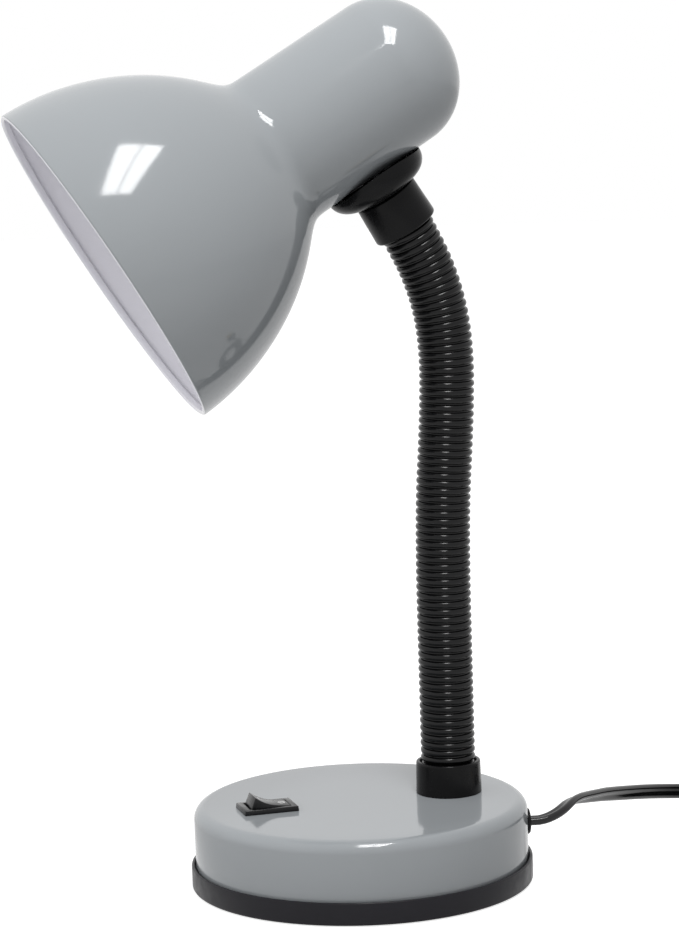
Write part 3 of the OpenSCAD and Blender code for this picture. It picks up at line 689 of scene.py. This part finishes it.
def twist_tie(sizes):
    """A flat plastic-coated wire round all the turns of the coil, on its +X side."""
    pitch, rise = coil_steps(sizes)
    outermost, innermost, band, wire = 0.5, TURNS, 0.004, 0.0005
    off = sizes.coil_radius - pitch * (outermost + innermost) / 2
    middle = mm(*COIL_AT) + Vector((off, 0, rise / 2))
    wide = pitch * (innermost - outermost) + sizes.thickness + 1.3 * MM
    high = rise + sizes.width + 0.9 * MM
    clear()
    bpy.ops.mesh.primitive_circle_add(vertices=48, radius=1, rotation=(math.pi / 2, 0, 0))
    tie = bpy.context.object
    bpy.ops.object.transform_apply(rotation=True)
    for vertex in tie.data.vertices:
        x, z = vertex.co.x, vertex.co.z
        k = 2 * max(abs(x), abs(z)) ** 0.72
        vertex.co = (limited(x / k * wide, wide / 2), -band / 2, limited(z / k * high, high / 2))
    edit_all()
    bpy.ops.mesh.extrude_region_move(TRANSFORM_OT_translate={"value": (0, band, 0)})
    bpy.ops.object.mode_set(mode="OBJECT")
    modify(tie, "SOLIDIFY", thickness=wire, offset=0)
    return finish_shape(tie, "twist_tie", shift(*middle))


def mains_plug(place):
    """A tapered grip for the blades, and a neck with finger ridges behind it."""
    neck_length = 0.0125
    grip = block("plug_grip", (0.0138, 0.0238, 0.024), place @ shift(0, 0, 0.0098), 0.0026, 5, 0.94)
    profile = [(0, 0), (0.0036, 0)]
    for k in range(6):
        profile += arc(0.0034 + 0.00008 * k, 0.0012 + 0.0019 * k, 0.0009 + 0.00003 * k, -80, 80, 5)
    profile += [(0.0056, neck_length), (0, neck_length)]
    return join("mains_plug", [grip, turned("plug_neck", profile, 40, place)])


class LAMP_OT_cord(bpy.types.Operator):
    """Lay the flat two-core cord from the grommet to its tied coil and its plug"""

    bl_idname = "lamp.cord"
    bl_label = "Cord"

    def execute(self, context):
        sizes = context.scene.lamp_cord
        line, twist = smooth_line(*cord_route(sizes), 2.4 * MM)
        cord = swept("mains_cord", line, twin_section(sizes.width, sizes.thickness), twist)
        ready(cord, "lamp_base", "cord_pvc", "cord", "cord_run", "cord_coil", "cord_tail")
        tie = twist_tie(sizes)
        ready(tie, "lamp_base", "cord_pvc", "cord", "cord_tie")
        plug = mains_plug(shift(*line[-1]) @ turn(90, "Y"))
        ready(plug, "lamp_base", "cord_pvc", "cord", "plug_body")
        return {"FINISHED"}


class LAMP_OT_base(bpy.types.Operator):
    """Turn the steel cover, the black tray and the grommet of the base"""

    bl_idname = "lamp.base"
    bl_label = "Base"

    def execute(self, context):
        scene = context.scene
        s, switch, cord = scene.lamp_base, scene.lamp_switch, scene.lamp_cord
        # Cover: along the sheet's inside, round its lower edge and back outside, then its three openings
        r, top, c, t = s.cover_radius, s.cover_height, s.shoulder, s.sheet
        edge = 0.0032
        inner = [(0, top - t)] + arc(r - c, top - c, c - t, 90, 0, 10) + [(r - t, edge)]
        outer = arc(r - t / 2, edge, t / 2, 180, 360, 4)[1:] + arc(r - c, top - c, c, 0, 90, 16)
        outer += [(r - 3 * c, top), (r / 2, top), (0, top)]
        cover = turned("steel_cover", inner + outer, 192, None, 40)
        opening = (switch.bezel_width - 0.0018, switch.bezel_length - 0.0022, 0.006)
        window = block("cutter", opening, shift(0, -switch.reach, top - 0.003), 0.0005, 2)
        bore = rod("cutter", 0.0051, 0.008, 64, shift(0, scene.lamp_neck.reach, top - 0.004))
        exit_hole = rod("cutter", 0.00405, 0.006, 48, wall_exit(scene, r - 0.004))
        cut(cover, [window, bore, exit_hole], 40)
        ready(cover, "lamp_base", "base_paint", "enamel", "base_cover")

        # Tray: a bevelled lip round the cover, a flat floor, and a recess under it for the foam pad
        R, H, L, w = s.tray_radius, s.tray_height, s.tray_lift, s.tray_wall
        floor, recess, bevel, corner = 0.003, 0.001, 0.0005, 0.0008
        profile = [(0, floor), (R - w, floor), (R - w, H - bevel)]
        profile += arc(R - w + bevel, H - bevel, bevel, 180, 90, 3)[1:]
        profile += arc(R - bevel, H - bevel, bevel, 90, 0, 3) + [(R, H * 0.5)]
        profile += arc(R - corner, L + corner, corner, 0, -90, 4)
        profile += [(0.0575, L), (0.0546, L), (0.0544, recess), (0, recess)]
        tray = turned("tray", profile, 192, None, 40)
        ring, head, hole, sunk = 0.048, 0.0041, 0.00205, 0.00205
        screw = [(0, 0), (head, 0), (head, sunk), (hole, sunk), (hole, 0.006), (0, 0.006)]
        places = [turn(a, "Z") @ shift(ring, 0, -0.00005) for a in (0, 120, 240)]
        seats = [turned("cutter", screw, 40, place) for place in places]
        cut(tray, seats, 40)
        ready(tray, "lamp_base", "tray_plastic", "tray", "base_tray")

        # Grommet: a low domed flange with the cord's slot through it and a grip behind the sheet
        face = wall_exit(scene, r)
        grip, sleeve, flange, back, behind = 0.00475, 0.004, 0.0052, -0.0032, -0.0014
        profile = [(0, back), (grip, back), (grip, behind), (sleeve, behind)]
        profile += [(sleeve, 0.0001), (flange, 0.0001)] + arc(sleeve, 0.0003, 0.00125, 0, 60, 5)
        profile += [(sleeve, 0.00152), (0, 0.0016)]
        grommet = turned("cord_gland", profile, 64, face)
        way = (cord.width + 0.0001, cord.thickness + 0.0001, 0.01)
        cut(grommet, [block("cutter", way, face @ shift(0, 0, -0.005), 0.0015, 4)], 40)
        ready(grommet, "lamp_base", "black_abs", "satin", "cord_grommet")
        return {"FINISHED"}


class LAMP_OT_switch(bpy.types.Operator):
    """Mould the see-saw switch: bezel, rocker and its two marks"""

    bl_idname = "lamp.switch"
    bl_label = "Switch"

    def execute(self, context):
        s = context.scene.lamp_switch
        at = shift(0, -s.reach, context.scene.lamp_base.cover_height)
        rim = block("switch_bezel", (s.bezel_width, s.bezel_length, s.bezel_height), at, 0.0003, 3, 0.98)
        body = (s.bezel_width - 0.002, s.bezel_length - 0.0024, 0.011)
        bezel = join("switch_bezel", [rim, block("case", body, at @ shift(0, 0, -0.0109))])
        well = (s.rocker_width + 0.0006, s.rocker_length + 0.0016, 0.014)
        cut(bezel, [block("cutter", well, at @ shift(0, 0, -0.0094))], 35)
        ready(bezel, "lamp_base", "black_abs", "rocker", "switch_housing")

        # Rocker: a block cut across, its top drawn up to both ends and its underside down to the middle
        half, crests, valley, sweep = s.rocker_length / 2, (0.0061, 0.0049), 0.0042, 1.8
        top_half, low_half = half - 0.0003, half + 0.0006
        keel, shallow, skirt = -0.0032, 0.0018, 0.001
        clear()
        bpy.ops.mesh.primitive_cube_add(size=1, scale=(s.rocker_width, s.rocker_length, 0.002))
        rocker = context.object
        bpy.ops.object.transform_apply(scale=True)
        bpy.ops.object.mode_set(mode="EDIT")
        for k in range(-7, 8):
            bpy.ops.mesh.select_all(action="SELECT")
            bpy.ops.mesh.bisect(plane_co=(0, half * k / 8, 0), plane_no=(0, 1, 0))
        bpy.ops.object.mode_set(mode="OBJECT")
        for vertex in rocker.data.vertices:
            t = vertex.co.y / half
            if vertex.co.z > 0:
                vertex.co.y, vertex.co.z = t * top_half, valley + (crests[t > 0] - valley) * abs(t) ** sweep
            else:
                vertex.co.y = t * low_half
                vertex.co.z = keel + shallow * max(0, (abs(t) - 0.4) / 0.45) if abs(t) < 0.86 else skirt
        modify(rocker, "BEVEL", width=0.0004, segments=3, limit_method="ANGLE", angle_limit=math.radians(40))
        seat = at @ shift(0, 0, -0.0012) @ turn(-12, "X")
        finish_shape(rocker, "switch_rocker_cap", seat)
        ready(rocker, "rocker", "black_abs", "rocker", "switch_rocker")

        # Marks: a bar on the raised end and a ring on the low one, each laid on the curved top
        mark_at = 0.66
        laid = []
        for end, crest in zip((-1, 1), crests):
            slope = (crest - valley) * sweep * mark_at ** (sweep - 1) / top_half
            level = valley + (crest - valley) * mark_at**sweep
            place = seat @ shift(0, end * top_half * mark_at, level - (0.0001 if end > 0 else 0))
            laid.append(place @ turn(end * math.degrees(math.atan(slope)), "X"))
        bar = block("on_mark", (0.0026, 0.0005, 0.00012), laid[0], 0.00004, 2)
        clear()
        bpy.ops.mesh.primitive_torus_add(
            major_radius=0.00122, minor_radius=0.00028, major_segments=40, minor_segments=8
        )
        ring = finish_shape(context.object, "off_mark", laid[1], doubles=0.0000001)
        for mark in (bar, ring):
            ready(mark, "rocker", "black_abs", "mark")
        return {"FINISHED"}


def bent(piece, start, start_dir, end, end_dir, length_before):
    """Bend a straight upright piece, z from 0 to length_before, along a smooth line in the plane x = 0."""
    p0, p1, chord = np.array(start), np.array(end), (Vector(end) - Vector(start)).length
    d0, d1 = np.array(start_dir) * chord, np.array(end_dir) * chord
    co = np.array([v.co for v in piece.data.vertices])
    height = co[:, 2:3]
    t = np.clip(height / length_before, 0, 1)
    ahead = (6 * t**2 - 6 * t) * p0 + (3 * t**2 - 4 * t + 1) * d0
    ahead += (6 * t - 6 * t**2) * p1 + (3 * t**2 - 2 * t) * d1
    ahead /= np.linalg.norm(ahead, axis=1)[:, None]
    middle = hermite(t, p0, d0, p1, d1) + ahead * (height - t * length_before)
    back = np.stack([np.zeros(len(co)), ahead[:, 2], -ahead[:, 1]], 1)
    for vertex, place in zip(piece.data.vertices, middle + co[:, 0:1] * (1, 0, 0) + co[:, 1:2] * back):
        vertex.co = place
    piece.data.update()


def hose_profile(s, first, last):
    """Outside and bore of a stretch of hose, from rib number first to rib number last."""
    pitch, groove = s.link / s.ribs, s.hose_radius - s.groove
    rib, fullness = 0.43, 0.8
    ribs = []
    for k in range(first, last):
        for a in (-90, -62, -38, -16, 0, 16, 38, 62, 90):
            bulge = cosd(a) ** fullness if abs(a) < 90 else 0
            ribs.append((groove + s.groove * bulge, (k + 0.5 + rib * sind(a)) * pitch))
    low, high = first * pitch, last * pitch
    return [(s.bore_radius, low), (groove, low)] + ribs + [(groove, high), (s.bore_radius, high)]


class LAMP_OT_neck(bpy.types.Operator):
    """Mould the collar, the ferrule and the ribbed hose, one length of hose and of lead to each joint"""

    bl_idname = "lamp.neck"
    bl_label = "Neck"

    def execute(self, context):
        s, head = context.scene.lamp_neck, context.scene.lamp_head
        links = len(LEAN)
        # Collar: a cup on the base for the hose's foot
        base = context.scene.lamp_base.cover_height
        h, r0, r1 = s.collar_height, s.collar_radius, s.collar_top_radius
        sleeve, seat = s.hose_radius + 0.0004, h - 0.0094
        profile = [(STUD_HOLE, 0), (r0 - 0.0003, 0), (r0, 0.0003), (r1 + 0.00012, h - 0.0009)]
        profile += arc(r1 - 0.0005, h - 0.0006, 0.0006, 0, 90, 4) + [(sleeve + 0.0002, h)]
        profile += [(sleeve, h - 0.0003), (sleeve, seat), (STUD_HOLE, seat), (STUD_HOLE, 0)]
        collar = turned("neck_collar", profile, 96, shift(0, s.reach, base))
        ready(collar, "lamp_base", "black_abs", "satin", "lower_collar")

        # One length from the middle of each link to the middle of the next, bent as the neck is at rest
        bodies = ["lamp_base"] + [f"neck_link_{k}" for k in range(2, links + 1)]
        straight_hose = turned("hose", hose_profile(s, 0, s.ribs), 72, None, 60)
        lead_rings = [(LEAD_RADIUS, k * s.link / 8) for k in range(9)]
        straight_lead = turned("lead", [(0, 0)] + lead_rings + [(0, s.link)], 16, None, 60)
        middles = [link_foot(k, s) + along(k) * s.link / 2 for k in range(links)]
        for k in range(1, links):
            a, b = middles[k - 1], middles[k]
            for source, key, finish, slot, node in (
                (straight_hose, "hose", "hose", "hose_plastic", f"neck_hose_{k + 1}"),
                (straight_lead, "lead", "cord", "cord_pvc", "neck_lead"),
            ):
                piece = copy(source, f"neck_{key}_length_{k + 1}")
                bent(piece, a, along(k - 1), b, along(k), s.link)
                ready(piece, None, slot, finish, node)
                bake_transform(piece)
        for spare in (straight_hose, straight_lead):
            bpy.data.objects.remove(spare)

        # The ends: into the collar and the ferrule, and the lead on into the base and the head
        half, buried, lead_foot, lead_end = s.ribs // 2, 2, 0.0225, 0.028
        last = shift(*link_foot(links, s)) @ turn(-LEAN[-1], "X")
        foot = turned("neck_hose_length_1", hose_profile(s, -buried, half), 72, shift(0, s.reach, s.foot), 60)
        ready(foot, "lamp_base", "hose_plastic", "hose", "neck_hose_1")
        top = turned("neck_hose_length_13", hose_profile(s, -half, buried), 72, last, 60)
        ready(top, bodies[-1], "hose_plastic", "hose", "neck_hose_12")
        down, reach = s.foot + s.link / 2 - lead_foot, s.link / 2 + lead_end
        low = rod("neck_lead_length_1", LEAD_RADIUS, down, 16, shift(0, s.reach, lead_foot))
        ready(low, "lamp_base", "cord_pvc", "cord", "neck_lead")
        high = rod("neck_lead_length_13", LEAD_RADIUS, reach, 16, last @ shift(0, 0, -s.link / 2))
        ready(high, bodies[-1], "cord_pvc", "cord", "neck_lead")

        # Ferrule: a cup over the hose's upper end
        f0, f1, fh, floor = head.ferrule_radius, head.ferrule_top_radius, head.ferrule_height, 0.009
        profile = [(STUD_HOLE, floor), (sleeve, floor), (sleeve, 0.0004), (sleeve + 0.0003, 0)]
        profile += arc(f0 - 0.0011, 0.0011, 0.0011, -90, 0, 6) + [(f1 + 0.0002, fh - 0.0008)]
        profile += arc(f1 - 0.0006, fh - 0.0008, 0.0008, 0, 90, 4) + [(STUD_HOLE, fh), (STUD_HOLE, floor)]
        ferrule = turned("neck_ferrule", profile, 96, neck_end(s))
        ready(ferrule, bodies[-1], "black_abs", "satin", "upper_ferrule")
        return {"FINISHED"}


def shade_radius(s, head, inset):
    """Outside radius of the shade, or inside by inset, at distance s from the mouth."""
    close, back = head.bell_depth - inset, head.shade_length - head.crown_depth
    closing = max(0, 1 - (s / close) ** BELL_POWER) if s < close else 0
    bell = (head.mouth_radius - inset) * closing ** (1 / BELL_POWER)
    if s < back:
        barrel = head.barrel_back - inset + (back - s) * barrel_taper(head)
    else:
        sunk = (s - back) / (head.crown_depth - inset)
        barrel = (head.barrel_back - inset) * math.sqrt(max(0, 1 - sunk**2))
    if s > head.bell_depth + 0.012:
        return barrel
    m, p = head.mouth_radius, BELL_TO_BARREL
    return m * ((bell / m) ** p + (max(barrel, 0) / m) ** p) ** (1 / p)


class LAMP_OT_head(bpy.types.Operator):
    """Spin the shade with its hem and vents, and mould the saddle under its barrel"""

    bl_idname = "lamp.head"
    bl_label = "Head"

    def execute(self, context):
        head, neck = context.scene.lamp_head, context.scene.lamp_neck
        back, m = head.shade_length - head.crown_depth, head.mouth_radius
        # Rings along the axis, close together where the bell turns into the barrel
        steps = [k * MM for k in [*range(2, 60, 2), *range(59, 100), *range(102, 128, 5)]]

        def side(inset):
            """The wall's outside from the mouth to the pole, or its inside by inset."""
            rings = [s for s in steps if s < back - 0.001]
            rings += [back + (head.crown_depth - inset) * sind(a) for a in range(0, 90, 3)]
            return [(shade_radius(s, head, inset), s) for s in rings] + [(0, head.shade_length - inset)]

        # The mouth's rim, then the hem, whose curl ends in a narrow groove against the wall
        rim, curl, groove = 0.0010, 0.00065, head.hem - 0.0008
        lip = [(m - 0.00002, rim)] + arc(m - rim, rim, rim, 350, 180, 10)
        hem = arc(m - 2 * rim + curl, head.hem - curl, curl, 180, 20, 6) + [(m - 0.0009, head.hem - 0.0012)]
        hem += [(shade_radius(groove, head, head.wall), groove)]
        profile = side(0)[::-1] + lip + hem + [p for p in side(head.wall) if p[1] > head.hem]
        shade = turned("spun_shade", profile, 192, None, 40)
        vents, first = 6, 335
        spots = [turn(first + 360 / vents * k, "Z") @ shift(head.vent_ring, 0, back) for k in range(vents)]
        cut(shade, [rod("cutter", head.vent / 2, 0.03, 32, spot) for spot in spots], 40)

        # Lining: the faces on the wall's inner side and under the hem
        wear(shade, "enamel", "lining")
        for face in shade.data.polygons:
            c, n = face.center, face.normal
            r = math.hypot(c.x, c.y)
            inwards = c.x * n.x + c.y * n.y < 0 if r > 0.001 else n.z < 0
            in_wall = shade_radius(max(c.z, 0.0), head, 0) - r > head.wall * 0.6
            if inwards and in_wall or n.z < -0.75 and c.z < head.hem:
                face.material_index = 1
        settle(shade, shade_place(neck, head))
        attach(shade, "head")
        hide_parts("shade")

        # Saddle: a domed disc, hollowed on top to sit on the barrel, with a hole for the stud and a pocket
        R, H = head.saddle_radius, head.saddle_height
        neck_r, edge = head.ferrule_top_radius + 0.0008, 0.0005
        z0, barrel_z, hollow = head.ferrule_height + 0.0003, head.ferrule_height + H, 0.06
        profile = [(0, z0), (neck_r - edge, z0), (neck_r, z0 + 0.0003)]
        for a in range(6, 91, 6):
            profile.append((neck_r + (R - neck_r) * sind(a), z0 + edge + (H - 0.0012) * (1 - cosd(a))))
        profile += [(R, barrel_z + 0.006), (0, barrel_z + 0.006)]
        saddle = turned("saddle", profile, 128)
        clear()
        bpy.ops.mesh.primitive_cylinder_add(vertices=256, radius=hollow, depth=0.1)
        barrel = context.object
        lean = turn(math.degrees(math.atan(barrel_taper(head))), "X")
        barrel.matrix_world = shift(0, 0, barrel_z - 0.0001) @ lean @ shift(0, 0, hollow) @ turn(90, "X")
        bore = rod("cutter", STUD_HOLE, 0.05, 64)
        pocket = rod("cutter", R - 0.006, 0.05, 96, shift(0, 0, z0 + 0.0035))
        cut(saddle, [barrel, bore, pocket])
        modify(saddle, "BEVEL", width=0.00035, segments=2, limit_method="ANGLE", angle_limit=math.radians(50))
        finish_shape(saddle, "saddle", head_seat(neck))
        ready(saddle, "head", "black_abs", "satin", "head_saddle")
        return {"FINISHED"}


class LAMP_OT_bulb(bpy.types.Operator):
    """Blow the bulb and roll its screw cap"""

    bl_idname = "lamp.bulb"
    bl_label = "Bulb"

    def execute(self, context):
        at = shade_place(context.scene.lamp_neck, context.scene.lamp_head)
        # Heights are from the shade's mouth; the bulb hangs from the end of its cap
        tip, bulb_length, cap_length = 0.1258, 0.104, 0.024
        low, r, neck_r, cap_foot = tip - bulb_length, 0.029, 0.0125, tip - cap_length
        globe = [(r * sind(a), low + r - r * cosd(a)) for a in range(0, 131, 5)]
        ra, za = globe[-1]
        steps = [k / 10 for k in range(1, 11)]
        throat = [(ra + (neck_r - ra) * sind(90 * t), za + (cap_foot - za) * t) for t in steps]
        bulb = turned("opal_bulb", globe + throat + [(0, cap_foot + 0.0002)], 96, at, 50)
        ready(bulb, "head", "bulb_frost", "opal", "bulb_glass")
        crest, trough, pitch = 0.0131, 0.0124, 0.0029
        profile = [(neck_r, 0), (crest, 0), (crest, 0.0022)]
        for k in range(6):
            profile += [(crest, 0.0036 + k * pitch), (trough, 0.005 + k * pitch)]
        profile += [(0.0110, 0.021), (0.005, 0.0236), (0.0036, 0.0238), (0.0034, cap_length), (0, cap_length)]
        cap = turned("bulb_screw_cap", profile, 96, at @ shift(0, 0, cap_foot), 50)
        ready(cap, "head", "bulb_cap_metal", "cap", "bulb_cap")
        return {"FINISHED"}


# Two soft boxes side by side over the lamp: metres, degrees and watts
BOXES_AT = (0.575, -0.03, 1.26)
BOX_APART = (0.026, 0.081)
BOX_SIZE = (0.7, 0.155)
BOX_HEADING = -18
BOX_POWER = 6.9


def soft_box(name, side):
    """A flat soft box that shines straight down, on the left (-1) or the right (1)."""
    x, y, z = BOXES_AT
    at = (x + side * BOX_APART[0], y + side * BOX_APART[1], z)
    clear()
    bpy.ops.object.light_add(type="AREA", location=at, rotation=(0, 0, math.radians(BOX_HEADING)))
    lamp = bpy.context.object
    lamp.name = name
    lamp.data.shape = "RECTANGLE"
    lamp.data.size, lamp.data.size_y = BOX_SIZE
    lamp.data.energy = BOX_POWER


def most(tree, a, b):
    return add(tree, "ShaderNodeMath", {"operation": "MAXIMUM"}, i0=a, i1=b).outputs[0]


def seen(tree):
    """1 for what the camera sees, directly, in a reflection or through glass."""
    rays = add(tree, "ShaderNodeLightPath").outputs
    return most(tree, most(tree, rays["Is Camera Ray"], rays["Is Glossy Ray"]), rays["Is Transmission Ray"])


class LAMP_OT_studio(bpy.types.Operator):
    """Set the white table, the daylight and the soft boxes"""

    bl_idname = "lamp.studio"
    bl_label = "Studio"

    def execute(self, context):
        clear()
        bpy.ops.mesh.primitive_circle_add(vertices=96, radius=3.0, fill_type="NGON", location=(0, 0, -0.0001))
        table = context.object
        bpy.ops.object.transform_apply(location=True)
        table.name = "white_table"
        material, tree, surface, place = shader("Paper sweep, white", Roughness=0.9)
        shades(tree, surface, place, linear("c4c4c4"), linear("c8c8c8"), 0.4)
        # Seen directly the paper glows up to white, in a reflection less, and its shading keeps the shadow
        direct = add(tree, "ShaderNodeLightPath").outputs["Is Camera Ray"]
        lift = add(tree, "ShaderNodeMapRange", Value=direct, To_Min=0.46, To_Max=0.78)
        glow = add(tree, "ShaderNodeEmission", Color=(1, 1, 1, 1), Strength=lift.outputs[0])
        both = add(tree, "ShaderNodeAddShader", i0=surface.outputs[0], i1=glow.outputs[0])
        mix = add(tree, "ShaderNodeMixShader", i0=seen(tree), i1=surface.outputs[0], i2=both.outputs[0])
        tree.links.new(mix.outputs[0], tree.nodes["Material Output"].inputs["Surface"])
        table.data.materials.append(material)

        # Daylight from above and a large white card towards -Y, and plain white wherever it is seen
        world = bpy.data.worlds.new("Daylight studio")
        context.scene.world = world
        world.use_nodes = True
        tree = world.node_tree
        tree.nodes.clear()
        up = add(tree, "ShaderNodeSeparateXYZ", Vector=add(tree, "ShaderNodeTexCoord").outputs["Generated"])

        def rise(axis, start, end, low, high):
            """Light that grows smoothly from low to high along an axis."""
            limits = {"From_Min": start, "From_Max": end, "To_Min": low, "To_Max": high}
            fields = {"interpolation_type": "SMOOTHSTEP"}
            return add(tree, "ShaderNodeMapRange", fields, Value=up.outputs[axis], **limits).outputs[0]

        daylight, card = rise("Z", -0.1, 0.9, 0.12, 0.32), rise("Y", 0.1, -0.9, 0, 0.95)
        both = add(tree, "ShaderNodeMath", {"operation": "ADD"}, i0=daylight, i1=card)
        white = most(tree, seen(tree), both.outputs[0])
        sky = add(tree, "ShaderNodeBackground", Color=(1, 1, 1, 1), Strength=white)
        add(tree, "ShaderNodeOutputWorld", Surface=sky.outputs[0])

        soft_box("window_left", -1)
        soft_box("window_right", 1)
        context.scene.view_settings.view_transform = "Standard"
        return {"FINISHED"}


class LAMP_PT_sidebar(bpy.types.Panel):
    """The lamp's sizes, colours and pieces"""

    bl_idname = "LAMP_PT_sidebar"
    bl_label = "Gooseneck lamp"
    bl_space_type = "VIEW_3D"
    bl_region_type = "UI"
    bl_category = "Lamp"

    def draw(self, context):
        for key in GROUPS:
            group = getattr(context.scene, key)
            box = self.layout.box()
            for name in group.__annotations__:
                box.prop(group, name)
        for operator in OPERATORS:
            self.layout.operator(operator.bl_idname)


GROUPS = {
    "lamp_base": BaseSizes,
    "lamp_switch": SwitchSizes,
    "lamp_neck": NeckSizes,
    "lamp_head": HeadSizes,
    "lamp_cord": CordSizes,
    "lamp_paints": Paints,
}
OPERATORS = [
    LAMP_OT_camera, LAMP_OT_finishes, LAMP_OT_cord, LAMP_OT_base, LAMP_OT_switch,
    LAMP_OT_neck, LAMP_OT_head, LAMP_OT_bulb, LAMP_OT_studio,
]  # fmt: skip


def register():
    for key, group in GROUPS.items():
        bpy.utils.register_class(group)
        setattr(bpy.types.Scene, key, bpy.props.PointerProperty(type=group))
    for operator in OPERATORS:
        bpy.utils.register_class(operator)
    bpy.utils.register_class(LAMP_PT_sidebar)


def unregister():
    bpy.utils.unregister_class(LAMP_PT_sidebar)
    for operator in reversed(OPERATORS):
        bpy.utils.unregister_class(operator)
    for key, group in GROUPS.items():
        delattr(bpy.types.Scene, key)
        bpy.utils.unregister_class(group)


def main():
    register()
    for operator in OPERATORS:
        group, name = operator.bl_idname.split(".")
        getattr(getattr(bpy.ops, group), name)()
    clear()


if __name__ == "__main__":
    main()
